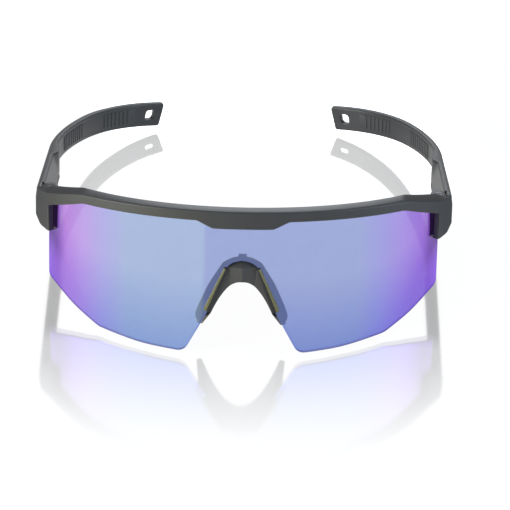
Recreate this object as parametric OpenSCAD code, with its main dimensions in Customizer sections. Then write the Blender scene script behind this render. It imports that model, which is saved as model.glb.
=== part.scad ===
// Half-rim shield glasses: one curved lens hung from a brow frame, a nose piece clipped to the
// lens, and two temples that fold on screwed hinges. Left and right are the wearer's.
// +X is the wearer's left, +Y runs from the lens to the wearer, +Z is up.
// The front is drawn upright, with its lens a standing cylinder, then leant back until the
// glasses stand on the lower edge of the lens and the two temple tips.

/* [Lens] */
// Radius of the front face of the lens
lens_r = 88; // [84:0.5:100]
// Thickness of the lens
lens_t = 1.8; // [1.4:0.1:2.2]
// Height of the lower outer corner above the lowest edge
corner_z = 15; // [12:0.5:20]
// Rounding of the lower outer corner
corner_r = 3; // [1:0.5:5]
// How far the slanted lower edge bows outward
slant_bow = 1; // [0.2:0.1:1.6]
// Distance from the middle to the bend in the lower edge
bend_x = 48.6; // [44:0.2:52]
// Height of the bend in the lower edge
bend_z = 2.9; // [1.5:0.1:5]
// Rounding of the bend in the lower edge
bend_r = 6; // [2:1:10]
// Distance from the middle to the rounded foot beside the nose
foot_x = 19.2; // [17:0.1:22]
// Rounding of the foot beside the nose
foot_r = 4; // [2:0.5:6]
// How far the lens is tucked into the brow
tuck = 2.1; // [1.2:0.1:2.6]
// Play between the lens and the groove that holds it
lens_play = 0.12; // [0.05:0.01:0.2]

/* [Nose opening] */
// Height of the peak of the nose opening
peak_z = 34.3; // [32.6:0.1:36.4]
// Half width at the shoulders of the nose opening
shoulder_x = 5.4; // [4.8:0.1:6.5]
// Height of the shoulders of the nose opening
shoulder_z = 31.6; // [29:0.1:32.5]
// Half width at the waist of the nose opening
waist_x = 11.2; // [10.2:0.1:12]
// Height of the waist of the nose opening
waist_z = 15.6; // [13:0.1:18]

/* [Brow frame] */
// Height of the brow's top edge at the middle
brow_top = 52.8; // [51.5:0.1:56]
// Height of the brow bar on its front face
brow_h = 3.7; // [3:0.1:5]
// Radius of the brow's gentle arch, seen from the front
arch_r = 770; // [600:10:1000]
// How far the brow stands in front of the lens
brow_proud = 2.2; // [1.6:0.1:3]
// Thickness of the brow's lip behind the lens
brow_lip = 1; // [0.8:0.1:2]
// Distance from the middle to the kink where the brow starts to fall
kink_x = 54; // [50:0.2:57]
// Extra depth of the brow over the nose
drop_h = 2.6; // [1:0.1:3.5]
// Half width of that deeper part at its lower edge
drop_in = 10.2; // [8:0.1:12]
// Half width of that deeper part where it meets the bar
drop_out = 15.4; // [14:0.1:20]
// Rounding of the kinks in the brow's outline
kink_r = 5; // [2:0.5:7]

/* [End pieces] */
// Half width of the whole front
end_half = 71; // [70.4:0.1:72]
// Height of the top of the end piece
end_top = 46.4; // [45.8:0.1:47]
// Height of the tip of the end piece
end_low = 32.4; // [30.5:0.1:34]
// Width of the end piece outside the lens
end_wall = 4.7; // [4.2:0.1:5.5]
// How far the end piece reaches in over the end of the lens
grip_over = 1.73; // [1.5:0.01:3.5]
// Distance from the end of the lens to the back face of the end piece
end_behind = 2.26; // [2.1:0.01:3.3]
// Rise of the slanted lower corner of the end piece
end_slant = 4.2; // [3:0.1:5]

/* [Hinge] */
// Distance from the outer side of the front in to the hinge axis
pivot_in = 5; // [4.4:0.1:5.4]
// Radius of the hinge knuckle and lugs
knuckle_r = 2.6; // [2.2:0.1:2.8]
// Height of the knuckle on the temple
knuckle_h = 4.1; // [3:0.1:4.5]
// Thickness of each lug on the frame
lug_t = 2.4; // [2.2:0.1:2.8]
// Height of the middle of the hinge
hinge_z = 41.3; // [40.9:0.1:41.5]
// Gap between knuckle and lugs
hinge_gap = 0.2; // [0.1:0.05:0.3]
// Gap between the temple and the end piece
butt_gap = 0.3; // [0.2:0.05:0.5]
// Diameter of the hinge screw's shank
screw_d = 1.5; // [1.2:0.1:1.6]
// Diameter of the hinge screw's head
head_d = 2.8; // [2.4:0.1:3]
// Height of the hinge screw's head
head_h = 0.9; // [0.6:0.1:1.1]
// Width of the slot in the screw's head
drive_w = 0.5; // [0.3:0.1:0.6]
// Outer diameter of the threaded insert
insert_d = 3; // [2.6:0.1:3.2]
// Length of the threaded insert
insert_h = 2; // [1.4:0.1:2]
// Radial running clearance of the screw
run_clear = 0.05; // [0.02:0.01:0.08]

/* [Temple] */
// How far the outer face of the temple lies inside the outer side of the front
temple_in = 0.4; // [0:0.1:0.8]
// Angle at which the straight part leans inward
toe = 1.4; // [0:0.1:3]
// Length of the straight part
straight = 49; // [42:0.5:54]
// Radius of the first bend round the head
bend_1_r = 96; // [80:1:120]
// Angle of the first bend
bend_1_deg = 24; // [18:0.5:28]
// Radius of the second bend, behind the ear
bend_2_r = 48; // [40:1:60]
// Angle of the second bend
bend_2_deg = 45.6; // [38:0.2:48]
// Fall of the temple's top edge, in degrees
droop = 5.2; // [3:0.1:7]
// Height of the block at the hinge
block_h = 11.2; // [10.6:0.1:12]
// Thickness of the block at its lower edge
block_t = 4.5; // [4.1:0.1:5]
// Width of the top of the block, above its sloping inner face
strip_t = 2.2; // [1.8:0.1:2.6]
// Length of the block
block_len = 39; // [32:0.5:42]
// Thickness of the shoulder behind the block
shoulder_t = 4; // [3.4:0.1:4.6]
// Length over which the block's sloping face turns upright
step_len = 5; // [3:0.5:7]
// Length over which the shoulder thins to the blade
thin_len = 14; // [9:0.5:16]
// Thickness of the blade
blade_t = 2.4; // [2.2:0.1:3]
// Height of the blade
blade_h = 8; // [7.2:0.1:9]
// Length over which the height falls from the block's to the blade's
taper_len = 60; // [50:1:70]
// How much higher the blade is at its end
tip_up = 0.9; // [0.2:0.1:1.4]
// Bevel along the edges of the temple
bevel = 0.5; // [0.2:0.05:0.7]
// Slant of the temple's end
tip_slant = 15; // [5:1:22]
// Rounding of the corners of the temple's end
tip_r = 0.9; // [0.5:0.1:1.4]

/* [Strap slot] */
// Length of the strap slot
slot_l = 3.4; // [3:0.1:5]
// Height of the strap slot
slot_h = 3.6; // [3:0.1:4.4]
// Distance from the temple's end to the middle of the slot
slot_in = 5; // [4.5:0.1:7]
// Rounding of the slot's corners
slot_r = 1; // [0.4:0.1:1.2]

/* [Temple grip] */
// Height of the grip strip
grip_h = 5.4; // [4.4:0.1:5.8]
// Depth of the recess for the grip
grip_t = 0.9; // [0.6:0.1:1.1]
// How far the ribs stand above the temple's inner face
rib_up = 0.4; // [0.2:0.05:0.6]
// Distance from one rib to the next
rib_pitch = 2; // [1.8:0.1:2.4]
// Width of a rib
rib_w = 1; // [0.7:0.1:1.2]
// Number of ribs in front of the ear
front_ribs = 10; // [6:1:11]
// Number of ribs behind the ear
rear_ribs = 7; // [4:1:7]
// Distance along the temple to the first front rib
front_at = 67; // [64:0.5:69]
// Distance along the temple to the first rear rib
rear_at = 101; // [97:0.5:102]
// Play round the grip in its recess
grip_play = 0.08; // [0.04:0.01:0.12]

/* [Nose piece] */
// Width of the clip's rails on the front of the lens, at the waist
rail_w = 2.1; // [1.7:0.1:2.4]
// Width of the clip's rails at the shoulders
rail_top = 0.9; // [0.7:0.1:1.3]
// Height of the rails above the lens
rail_up = 0.8; // [0.5:0.1:1.2]
// Thickness of the clip's web inside the nose opening
web_t = 0.8; // [0.6:0.1:1.2]
// Thickness of the clip's flange behind the lens
flange_t = 1; // [0.8:0.1:1.4]
// Width of the flange beside the nose opening
flange_w = 3.4; // [2.8:0.1:3.8]
// How far the flange runs down behind the lens below the waist
flange_down = 3; // [2:0.1:3.6]
// Width of the flange above the nose opening
flange_top = 0.4; // [0.4:0.1:1.5]
// Width of the tab at the top of the flange
tab_w = 3; // [2:0.1:3.4]
// Height of the tab above the flange
tab_h = 0.8; // [0.6:0.1:2]
// Height of the top of the saddle's arch
arch_z = 25.3; // [23:0.1:26.5]
// Half width of the saddle's arch at its feet
arch_x = 10.3; // [9.6:0.1:11]
// Height of the feet of the saddle's arch
arch_low = 13.5; // [12.5:0.1:15]
// How far the arch's edge lies behind the front of the lens
arch_y = 4.5; // [3.5:0.1:5.5]
// How much higher the saddle's back edge is than its arch
bridge_up = 3.2; // [2:0.1:4.5]
// How far the saddle reaches behind the front of the lens
saddle_y = 10.8; // [9:0.1:13]
// Half width between the pads at their feet
pad_x = 13.4; // [12.5:0.1:14.5]
// Height of the feet of the pads
pad_z = 6; // [5.2:0.1:8]
// Thickness of the pads
pad_t = 1.9; // [1.5:0.1:2.4]
// Play between the soft saddle and the clip
saddle_play = 0.1; // [0.05:0.01:0.15]

/* [Hidden] */
$fn = 180;
nylon = [0.25, 0.26, 0.27];
rubber = [0.20, 0.21, 0.22];
mirror_blue = [0.55, 0.60, 0.88];
olive = [0.48, 0.47, 0.28];
steel = [0.72, 0.73, 0.75];
brass = [0.76, 0.62, 0.32];

// Room for cuts that run past a face, and overlap of shapes joined into one piece
over = 1;
bond = 0.3;
// Depth and height of the blocks that front outlines are cut from
front_depth = 60;
front_height = brow_top + 10 * over;

// Straight lines between two values or points, held at both ends
function mix(a, b, t) = a + (b - a) * max(0, min(1, t));
// A mix that starts and ends gently
function ease(a, b, t) = let (k = max(0, min(1, t))) a + (b - a) * k * k * (3 - 2 * k);
function unit(v) = v / norm(v);

// A corner at p between its neighbours a and b, rounded to radius r by an arc of n steps
function corner(p, a, b, r, n = 6) =
    let (
        u = unit(a - p),
        v = unit(b - p),
        half = acos(u * v) / 2,
        c = p + unit(u + v) * r / sin(half),
        s = p + u * r / tan(half) - c,
        e = p + v * r / tan(half) - c,
        from = atan2(s.y, s.x),
        sweep = (atan2(e.y, e.x) - from + 540) % 360 - 180
    )
    [for (i = [0 : n]) c + r * [cos(from + sweep * i / n), sin(from + sweep * i / n)]];

// An outline whose first and last points stay and whose other corners are rounded, where each
// entry is [x, z, radius]
function rounded_open(p) = [
    for (i = [0 : len(p) - 1])
        let (at = [p[i].x, p[i].y])
        each (p[i][2] == 0
            ? [at]
            : corner(at, [p[i - 1].x, p[i - 1].y], [p[i + 1].x, p[i + 1].y], p[i][2]))
];

// A half outline from the middle line round to the middle line, closed with its mirror image
function both_halves(h) = concat(h, [for (i = [len(h) - 2 : -1 : 1]) [-h[i].x, h[i].y]]);

// Depth of a cylinder of radius r about the lens's axis, at a distance x from the middle
function depth(r, x) = lens_r - sqrt(r * r - x * x);

// Height of the brow bar's top and lower edges on the front, with the arch's fall at x
function arch_fall(x) = arch_r - sqrt(arch_r * arch_r - x * x);
function bar_top(x) = brow_top - arch_fall(x);
function bar_low(x) = brow_top - brow_h - arch_fall(x);

// Slope of the brow beyond its kink, to the flat top of the end piece, and the steeper slope below
end_flat = 4;
end_taper = 0.6;
end_fall = (bar_top(kink_x) - end_top) / (end_half - end_flat - kink_x);
function fall_low(x) = bar_low(kink_x) - 1.25 * end_fall * (x - kink_x);

lens_back = lens_r - lens_t;
brow_out = lens_r + brow_proud;
brow_in = lens_back - brow_lip;

// Places that follow the half width of the front: the lens's end, what grips it, and the hinge
lens_half = end_half - end_wall;
grip_deg = asin((lens_half - grip_over) / lens_r);
end_back = depth(lens_r, lens_half) + end_behind;
pivot_x = end_half - pivot_in;
temple_x = end_half - temple_in;

// Front outlines: the bows in the lens's lower edge have a wide radius
bow_r = 40;
lens_top_r = 1;
// The nose opening's roof is an arc from shoulder to shoulder
function roof_at(x) =
    let (
        h = peak_z - shoulder_z,
        r = (shoulder_x * shoulder_x + h * h) / (2 * h)
    )
    peak_z - r + sqrt(r * r - x * x);
roof_steps = [for (i = [5 : -1 : 1]) shoulder_x * i / 6];
low_x = (bend_x + foot_x) / 2;
low_z = bend_z / 4;
arch_steps = [for (i = [1 : 8]) kink_x * i / 9];
function lens_half_outline(grow) = rounded_open(concat(
    [[0, bar_low(0) + tuck + grow, 0]],
    [for (x = arch_steps) [x, bar_low(x) + tuck + grow, 0]],
    [
        [kink_x, bar_low(kink_x) + tuck + grow, 0],
        [lens_half + grow, fall_low(lens_half) + tuck + grow, lens_top_r],
        [lens_half + grow, corner_z - grow, corner_r],
        [(lens_half + bend_x) / 2, (corner_z + bend_z) / 2 - slant_bow, bow_r],
        [bend_x, bend_z, bend_r],
        [low_x, low_z, 2 * bow_r],
        [foot_x, 0, foot_r],
        [waist_x - grow, waist_z, bow_r],
        [shoulder_x - grow, shoulder_z - grow / 2, 0]
    ],
    [for (x = roof_steps) [x, roof_at(x) - grow, 0]],
    [[0, peak_z - grow, 0]]));
bar_half_outline = rounded_open(concat(
    [[0, bar_top(0), 0]],
    [for (x = arch_steps) [x, bar_top(x), 0]],
    [
        [kink_x, bar_top(kink_x), kink_r],
        [end_half - end_flat, end_top, kink_r],
        [end_half - end_taper, end_top, end_taper],
        [end_half, end_top - end_flat, end_flat / 2],
        [end_half, fall_low(end_half), 0],
        [kink_x, bar_low(kink_x), kink_r],
    ],
    [for (i = [7 : -1 : 0]) let (x = arch_steps[i]) if (x > drop_out + over) [x, bar_low(x), 0]],
    [
        [drop_out, bar_low(drop_out), kink_r / 2],
        [drop_in, bar_low(drop_in) - drop_h, kink_r / 2],
        [0, bar_low(0) - drop_h, 0]
    ]));
end_inner = brow_in * sin(grip_deg) - over;
end_deg = 75;
end_knee = [0.4, 0.22] * end_slant;
end_outline = [
    [end_inner, end_low],
    [end_half - end_slant, end_low],
    [end_half - end_knee.x, end_low + end_knee.y],
    [end_half, end_low + end_slant],
    [end_half, end_top - end_flat],
    [end_inner, end_top - end_flat]
];

// Hinge places, in the upright front
pivot_y = end_back + butt_gap + knuckle_r;
temple_y = end_back + butt_gap;
knuckle_low = hinge_z - knuckle_h / 2;
low_lug = knuckle_low - hinge_gap - lug_t;
high_lug = knuckle_low + knuckle_h + hinge_gap;
lug_top = high_lug + lug_t;
insert_low = low_lug + lug_t - insert_h;

// The temple's outer face, seen from above: a straight, then two bends, by length s along it
bend_1_at = straight;
bend_2_at = bend_1_at + bend_1_r * bend_1_deg * PI / 180;
temple_len = bend_2_at + bend_2_r * bend_2_deg * PI / 180;
function heading(s) =
    s <= bend_1_at ? toe
    : s <= bend_2_at ? toe + (s - bend_1_at) / bend_1_r * 180 / PI
    : toe + bend_1_deg + (s - bend_2_at) / bend_2_r * 180 / PI;
function inward(h) = [-cos(h), -sin(h)];
function along(h) = [-sin(h), cos(h)];
straight_end = [temple_x, temple_y] + straight * along(toe);
bend_1_end = straight_end + bend_1_r * (inward(toe) - inward(toe + bend_1_deg));
function outer_at(s) =
    s <= bend_1_at ? [temple_x, temple_y] + s * along(toe)
    : s <= bend_2_at ? straight_end + bend_1_r * (inward(toe) - inward(heading(s)))
    : bend_1_end + bend_2_r * (inward(toe + bend_1_deg) - inward(heading(s)));

// Edges and inner face of the temple by length: the block's face slopes, the blade's is upright
top_step = 0.1;
function tip_rise(s) = ease(0, tip_up, (s - taper_len) / (temple_len - taper_len));
function top_at(s) = end_top - top_step - tan(droop) * s + tip_rise(s);
function height_at(s) = mix(block_h, blade_h, s / taper_len) + tip_rise(s);
shoulder_at = block_len + step_len;
function inner_top(s) =
    s < shoulder_at ? ease(strip_t, shoulder_t, (s - block_len) / step_len)
    : ease(shoulder_t, blade_t, (s - shoulder_at) / thin_len);
function inner_low(s) =
    s < shoulder_at ? ease(block_t, shoulder_t, (s - block_len) / step_len)
    : ease(shoulder_t, blade_t, (s - shoulder_at) / thin_len);
// Point at length s, depth n in from the outer face and height z, with the slanted end's shift
function shear(s) = tan(tip_slant) * max(0, 1 - (temple_len - s) / (3 * tip_r));
function temple_point(s, n, z) =
    let (
        h = heading(s),
        mid = top_at(s) - height_at(s) / 2,
        p = outer_at(s) + n * inward(h) + (z - mid) * shear(s) * along(h)
    )
    [p.x, p.y, z];

// The recess for the grip
recess_from = front_at - rib_pitch;
recess_to = rear_at + (rear_ribs + 0.5) * rib_pitch;
recess_edge = 0.3;
recess_draft = 0.1;
function recess_at(s) = grip_t * min(
    max(0, min(1, (s - recess_from) / recess_edge)),
    max(0, min(1, (recess_to - s) / recess_edge)));
function recess_mid(s) = top_at(s) - height_at(s) / 2;

// A closed body through rings of equal numbers of points, its ends fanned from each ring's last
module loft(rings) {
    m = len(rings[0]);
    end = (len(rings) - 1) * m;
    polyhedron(
        points = [for (r = rings) each r],
        faces = concat(
            [for (j = [0 : m - 3]) [m - 1, j, j + 1]],
            [for (i = [0 : m : end - m]) for (j = [0 : m - 1])
                let (a = i + j, b = i + (j + 1) % m)
                each [[a, b + m, b], [a, a + m, b + m]]],
            [for (j = [0 : m - 3]) [end + m - 1, end + j + 1, end + j]]),
        convexity = 10);
}

module front_block(outline)
    translate([0, front_depth, 0])
        rotate([90, 0, 0])
            linear_extrude(front_depth + 2 * over + brow_proud)
                polygon(outline);

module ring(r_out, r_in)
    translate([0, lens_r, -over])
        difference() {
            cylinder(h = front_height, r = r_out);
            translate([0, 0, -over]) cylinder(h = front_height + 2 * over, r = r_in);
        }

// Wedge between two angles round the lens's axis, measured from the middle to the wearer's left
module sector(from_deg, to_deg)
    translate([0, lens_r, -over])
        linear_extrude(front_height)
            polygon(concat([[0, 0]],
                [for (i = [0 : 6]) let (a = mix(from_deg, to_deg, i / 6))
                    2 * lens_r * [sin(a), -cos(a)]]));

module both_sides() {
    children();
    mirror([1, 0, 0]) children();
}

// The lens with play all round, for cutting the grooves that hold it
module lens_shape(play) {
    end = asin((lens_half + play) / lens_r);
    intersection() {
        ring(lens_r + play, lens_back - play);
        front_block(both_halves(lens_half_outline(play)));
        sector(-end, end);
    }
}

module hinge_lug(z)
    translate([0, 0, z])
        linear_extrude(lug_t)
            union() {
                translate([pivot_x, pivot_y]) circle(r = knuckle_r);
                translate([pivot_x - knuckle_r, end_back - bond])
                    square([2 * knuckle_r, pivot_y - end_back + bond]);
            }

module end_piece() {
    intersection() {
        ring(brow_out, brow_in);
        front_block(end_outline);
        sector(grip_deg, end_deg);
        translate([0, -front_depth + end_back, -over])
            cube([2 * end_half, front_depth, front_height]);
    }
    difference() {
        union() {
            hinge_lug(low_lug);
            hinge_lug(high_lug);
        }
        translate([pivot_x, pivot_y, high_lug - over])
            cylinder(h = lug_t + 2 * over, d = screw_d + 2 * run_clear);
        translate([pivot_x, pivot_y, lug_top - head_h])
            cylinder(h = head_h + over, d = head_d + 2 * run_clear);
        translate([pivot_x, pivot_y, insert_low])
            cylinder(h = insert_h + over, d = insert_d + 2 * run_clear);
    }
}

module brow_frame()
    color(nylon) stand()
        difference() {
            union() {
                intersection() {
                    ring(brow_out, brow_in);
                    front_block(both_halves(bar_half_outline));
                    translate([-2 * end_half, -front_depth + end_back, -over])
                        cube([4 * end_half, front_depth, front_height]);
                }
                both_sides() end_piece();
            }
            lens_shape(lens_play);
        }

module shield_lens()
    color(mirror_blue) stand() lens_shape(0);

// Radius of the back of the clip's flange, behind the lens
flange_in = lens_back - lens_play - flange_t;

// Nose opening corners and the directions along and away from its edges
peak = [0, peak_z];
shoulder = [shoulder_x, shoulder_z];
waist = [waist_x, waist_z];
side_dir = unit(waist - shoulder);
side_out = [-side_dir.y, side_dir.x];
roof_out = unit([peak.y - shoulder.y, shoulder.x]);
shoulder_out = (side_out + roof_out) / (1 + side_out * roof_out);
// Width of the flange at the shoulders, between its widths above and beside the opening
shoulder_w = (2 * flange_top + flange_w) / 3;
rail_half = [
    shoulder - web_t * side_out,
    shoulder + rail_top * side_out,
    waist + rail_w * side_out,
    waist - web_t * side_out
];
flange_foot = waist + bond * side_dir;
// Below the waist the flange follows the lens's edge down towards the foot, and ends rounded
foot_dir = unit([foot_x, 0] - waist);
foot_out = [-foot_dir.y, foot_dir.x];
flange_end = waist + flange_down * foot_dir;
function rounding(p, r) = [p.x, p.y, r];
function flange_crest(x) = [x, roof_at(x) + mix(flange_top, shoulder_w, x / shoulder_x), 0];
flange_half = rounded_open(concat(
    [
        [0, peak_z + flange_top + tab_h, 0],
        [tab_w / 2, peak_z + flange_top + tab_h, 0],
        flange_crest(tab_w / 2)
    ],
    [for (i = [3 : -1 : 0]) flange_crest(roof_steps[i])],
    [
        rounding(shoulder + shoulder_w * shoulder_out, 3),
        rounding((shoulder + waist) / 2 + 0.9 * flange_w * side_out, 4 * bow_r / 5),
        rounding(waist + flange_w * side_out, 2 * flange_w),
        rounding(flange_end + 0.8 * flange_w * foot_out, 0.4 * flange_w),
        rounding(flange_end + bond * foot_out, 0),
        rounding(flange_foot - web_t / 2 * side_out, 0),
        rounding(shoulder - web_t / 2 * side_out, 0),
        rounding(shoulder + saddle_play * shoulder_out, 0)
    ],
    [for (x = roof_steps) [x, roof_at(x) + saddle_play, 0]],
    [[0, peak_z + saddle_play, 0]]));

module nose_clip()
    color(olive) stand()
        difference() {
            union() {
                intersection() {
                    ring(lens_r + rail_up, flange_in + flange_t / 2);
                    both_sides() front_block(rail_half);
                }
                intersection() {
                    ring(lens_back, flange_in);
                    front_block(both_halves(flange_half));
                }
            }
            lens_shape(lens_play);
        }

// The saddle is lofted from one foot over the bridge to the other. At each place u, from -1 to
// 1, its ring runs from the nose opening's edge at the front, over the arch, to the pad's back.
corner_u = 0.36;
corner_span = 0.06;
side_u = corner_u + corner_span;
function edge_at(u, roof_off, side_off, low_off) =
    let (
        k = abs(u),
        top = peak + [0, roof_off],
        part = min(1, k / corner_u),
        bulge = roof_at(shoulder_x * part) - mix(peak_z, shoulder_z, part),
        bend = shoulder + roof_off * shoulder_out,
        side = shoulder + side_off * side_out,
        low = waist + low_off * side_out,
        p = k < corner_u ? mix(top, bend, part) + [0, bulge]
            : k < side_u ? mix(bend, side, (k - corner_u) / corner_span)
            : mix(side, low, (k - side_u) / (1 - side_u))
    )
    [p.x, p.y];
flange_back = flange_in - saddle_play;
// The saddle's front lies a little behind the lens's, its wings stay inside the flange's edge
saddle_in = 0.3;
wing_in = 0.3;
// How the arch and the pads' backs bow, and the direction in which the pads thicken at their feet
arch_bow = 2;
rear_bow = 1.5;
pad_deg = 82;
function saddle_ring(u) =
    let (
        k = abs(u),
        sgn = sign(u),
        lip_in = -web_t - saddle_play,
        lip = edge_at(u, -lens_play - saddle_play, lip_in, lip_in),
        wing = edge_at(u, flange_top - wing_in, shoulder_w - wing_in, flange_w - wing_in),
        arch = [arch_x * k, mix(arch_z, arch_low, pow(k, arch_bow))],
        rear = [pad_x * k, mix(arch_z + bridge_up, pad_z, pow(k, rear_bow))],
        out = [sin(pad_deg * k), cos(pad_deg * k)] * pad_t
    )
    [
        [sgn * lip.x, depth(lens_r - saddle_in, lip.x), lip.y],
        [sgn * arch.x, arch_y, arch.y],
        [sgn * rear.x, saddle_y, rear.y],
        [sgn * (rear.x + out.x), saddle_y, rear.y + out.y],
        [sgn * wing.x, depth(flange_back, wing.x), wing.y],
        [sgn * lip.x, depth(flange_back, lip.x), lip.y]
    ];
saddle_u = [for (i = [-12 : 12]) i / 12];

module nose_saddle()
    color(rubber) stand()
        loft([for (u = saddle_u) saddle_ring(u)]);

function temple_ring(s, inset = 0) =
    let (
        t = top_at(s) - inset,
        b = top_at(s) - height_at(s) + inset,
        it = inner_top(s),
        il = inner_low(s),
        mid = recess_mid(s),
        hi = mid + grip_h / 2,
        lo = mid - grip_h / 2,
        d = recess_at(s),
        n_hi = mix(il, it, (hi - b) / (t - b)),
        n_lo = mix(il, it, (lo - b) / (t - b))
    )
    [
        temple_point(s, 0, b + bevel),
        temple_point(s, bevel, b),
        temple_point(s, il - bevel, b),
        temple_point(s, il, b + bevel),
        temple_point(s, n_lo, lo),
        temple_point(s, n_lo - d, lo + recess_draft),
        temple_point(s, n_hi - d, hi - recess_draft),
        temple_point(s, n_hi, hi),
        temple_point(s, it, t - bevel),
        temple_point(s, it - bevel, t),
        temple_point(s, bevel, t),
        temple_point(s, 0, t - bevel)
    ];
temple_s = concat(
    [for (i = [0 : 6]) block_len * i / 7],
    [for (i = [0 : 4]) block_len + step_len * i / 4],
    [for (i = [1 : 7]) mix(shoulder_at, recess_from, i / 8)],
    [recess_from, recess_from + recess_edge],
    [for (i = [1 : 15]) mix(recess_from, recess_to, i / 16)],
    [recess_to - recess_edge, recess_to],
    [for (i = [1 : 5]) mix(recess_to, temple_len - 3 * tip_r, i / 6)],
    [for (k = [3, 1.8]) temple_len - k * tip_r]
);
tip_rings = [
    for (i = [0 : 3])
        let (a = 30 * i)
        temple_ring(temple_len - tip_r + tip_r * sin(a), tip_r * (1 - cos(a)))
];

// Where the glasses stand: the lens's lower back edge and the temple tips touch the floor
lens_rim = lens_half_outline(0);
tip_s = temple_len - tip_r;
tip_low = temple_point(tip_s, bevel, top_at(tip_s) - height_at(tip_s));
function leant(y, z, a) = [y * cos(a) + z * sin(a), z * cos(a) - y * sin(a)];
function lean_from(y, z) = atan2(tip_low.z - z, tip_low.y - y);
first_lean = lean_from(depth(lens_back, low_x), low_z);
rim_drop = [for (p = lens_rim) leant(depth(lens_back, p.x), p.y, first_lean).y];
contact = [for (i = [0 : len(lens_rim) - 1]) if (rim_drop[i] == min(rim_drop)) lens_rim[i]][0];
lean = lean_from(depth(lens_back, contact.x), contact.y);
floor_z = leant(depth(lens_back, contact.x), contact.y, lean).y;
front_y = min([for (p = lens_rim) leant(depth(lens_r, p.x), p.y, lean).x]);
rear_y = max([for (r = tip_rings) for (p = r) leant(p.y, p.z, lean).x]);

module stand()
    translate([0, -(front_y + rear_y) / 2, -floor_z])
        rotate([-lean, 0, 0])
            children();

// The strap slot, seen square to the blade near its end, and leaning a little less than the end
slot_lean = 0.7 * tip_slant;
slot_s = temple_len - slot_in;
slot_rect = [
    [-slot_l / 2, -slot_h / 2], [slot_l / 2, -slot_h / 2],
    [slot_l / 2, slot_h / 2], [-slot_l / 2, slot_h / 2]
];
slot_outline = [
    for (i = [0 : 3])
        each [for (p = corner(slot_rect[i], slot_rect[(i + 3) % 4], slot_rect[(i + 1) % 4], slot_r))
            [p.x + p.y * tan(slot_lean), p.y]]
];
module strap_slot() {
    at = outer_at(slot_s);
    translate([at.x, at.y, recess_mid(slot_s)])
        rotate([0, 0, heading(slot_s) + 90])
            rotate([90, 0, 0])
                translate([0, 0, -2 * blade_t])
                    linear_extrude(4 * blade_t)
                        polygon(slot_outline);
}

// Room for the lugs of the frame while the temple folds
module lug_room(z_from, z_to)
    translate([0, 0, z_from])
        linear_extrude(z_to - z_from)
            union() {
                translate([pivot_x, pivot_y]) circle(r = knuckle_r + butt_gap);
                translate([pivot_x - 4 * knuckle_r, temple_y - over])
                    square([5 * knuckle_r + butt_gap, pivot_y - temple_y + over]);
                translate([pivot_x - 4 * knuckle_r, pivot_y - over])
                    square([4 * knuckle_r, knuckle_r + butt_gap + over]);
            }

module temple()
    color(nylon)
        difference() {
            union() {
                difference() {
                    loft(concat([for (s = temple_s) temple_ring(s)], tip_rings));
                    lug_room(low_lug - 4 * lug_t, knuckle_low);
                    lug_room(knuckle_low + knuckle_h, end_top + over);
                    strap_slot();
                }
                translate([pivot_x, pivot_y, knuckle_low])
                    cylinder(h = knuckle_h, r = knuckle_r);
            }
            translate([pivot_x, pivot_y, knuckle_low - over])
                cylinder(h = knuckle_h + 2 * over, d = screw_d + 2 * run_clear);
        }

module left_temple() stand() temple();
module right_temple() stand() mirror([1, 0, 0]) temple();

// The grip: a strip that fills the recess, with ribs standing above the temple's inner face
function grip_ring(s, up) =
    let (
        mid = recess_mid(s),
        hi = mid + grip_h / 2 - recess_draft - grip_play,
        lo = mid - grip_h / 2 + recess_draft + grip_play,
        n = inner_low(s),
        floor = n - grip_t + grip_play
    )
    [
        temple_point(s, floor, lo),
        temple_point(s, n + up, lo + up),
        temple_point(s, n + up, hi - up),
        temple_point(s, floor, hi)
    ];
front_end = front_at + (front_ribs - 1) * rib_pitch + rib_w;
function rib_rings(at) = [
    grip_ring(at - rib_w / 2, 0),
    grip_ring(at - rib_w / 4, rib_up),
    grip_ring(at + rib_w / 4, rib_up),
    grip_ring(at + rib_w / 2, 0)
];
module temple_grip()
    color(rubber)
        loft(concat(
            [grip_ring(recess_from + recess_edge + grip_play, 0)],
            [for (i = [0 : front_ribs - 1]) each rib_rings(front_at + i * rib_pitch)],
            [for (i = [1 : 4]) grip_ring(mix(front_end, rear_at - rib_w, i / 5), 0)],
            [for (i = [0 : rear_ribs - 1]) each rib_rings(rear_at + i * rib_pitch)],
            [grip_ring(recess_to - recess_edge - grip_play, 0)]
        ));

module left_temple_grip() stand() temple_grip();
module right_temple_grip() stand() mirror([1, 0, 0]) temple_grip();

module hinge_screw()
    color(steel)
        translate([pivot_x, pivot_y, 0])
            difference() {
                union() {
                    translate([0, 0, lug_top - head_h + run_clear])
                        cylinder(h = head_h - run_clear, d = head_d);
                    translate([0, 0, insert_low + run_clear])
                        cylinder(h = lug_top - insert_low - run_clear, d = screw_d);
                }
                translate([-head_d, -drive_w / 2, lug_top - head_h / 2])
                    cube([2 * head_d, drive_w, over + head_h]);
            }

module left_hinge_screw() stand() hinge_screw();
module right_hinge_screw() stand() mirror([1, 0, 0]) hinge_screw();

module hinge_insert()
    color(brass)
        translate([pivot_x, pivot_y, insert_low + run_clear])
            difference() {
                cylinder(h = insert_h - run_clear, d = insert_d);
                translate([0, 0, -over]) cylinder(h = insert_h + 2 * over, d = screw_d + 2 * run_clear);
            }

module left_hinge_insert() stand() hinge_insert();
module right_hinge_insert() stand() mirror([1, 0, 0]) hinge_insert();

brow_frame();
shield_lens();
nose_clip();
nose_saddle();
left_temple();
right_temple();
left_temple_grip();
right_temple_grip();
left_hinge_screw();
right_hinge_screw();
left_hinge_insert();
right_hinge_insert();
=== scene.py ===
"""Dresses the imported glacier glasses: fine surfaces, finishes, light and camera.

Shapes are worked out in millimetres in an upright frame, in which the lens is a standing cylinder
whose front touches y = 0, and are then leant back to where the glasses stand on the floor.
"""

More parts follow.
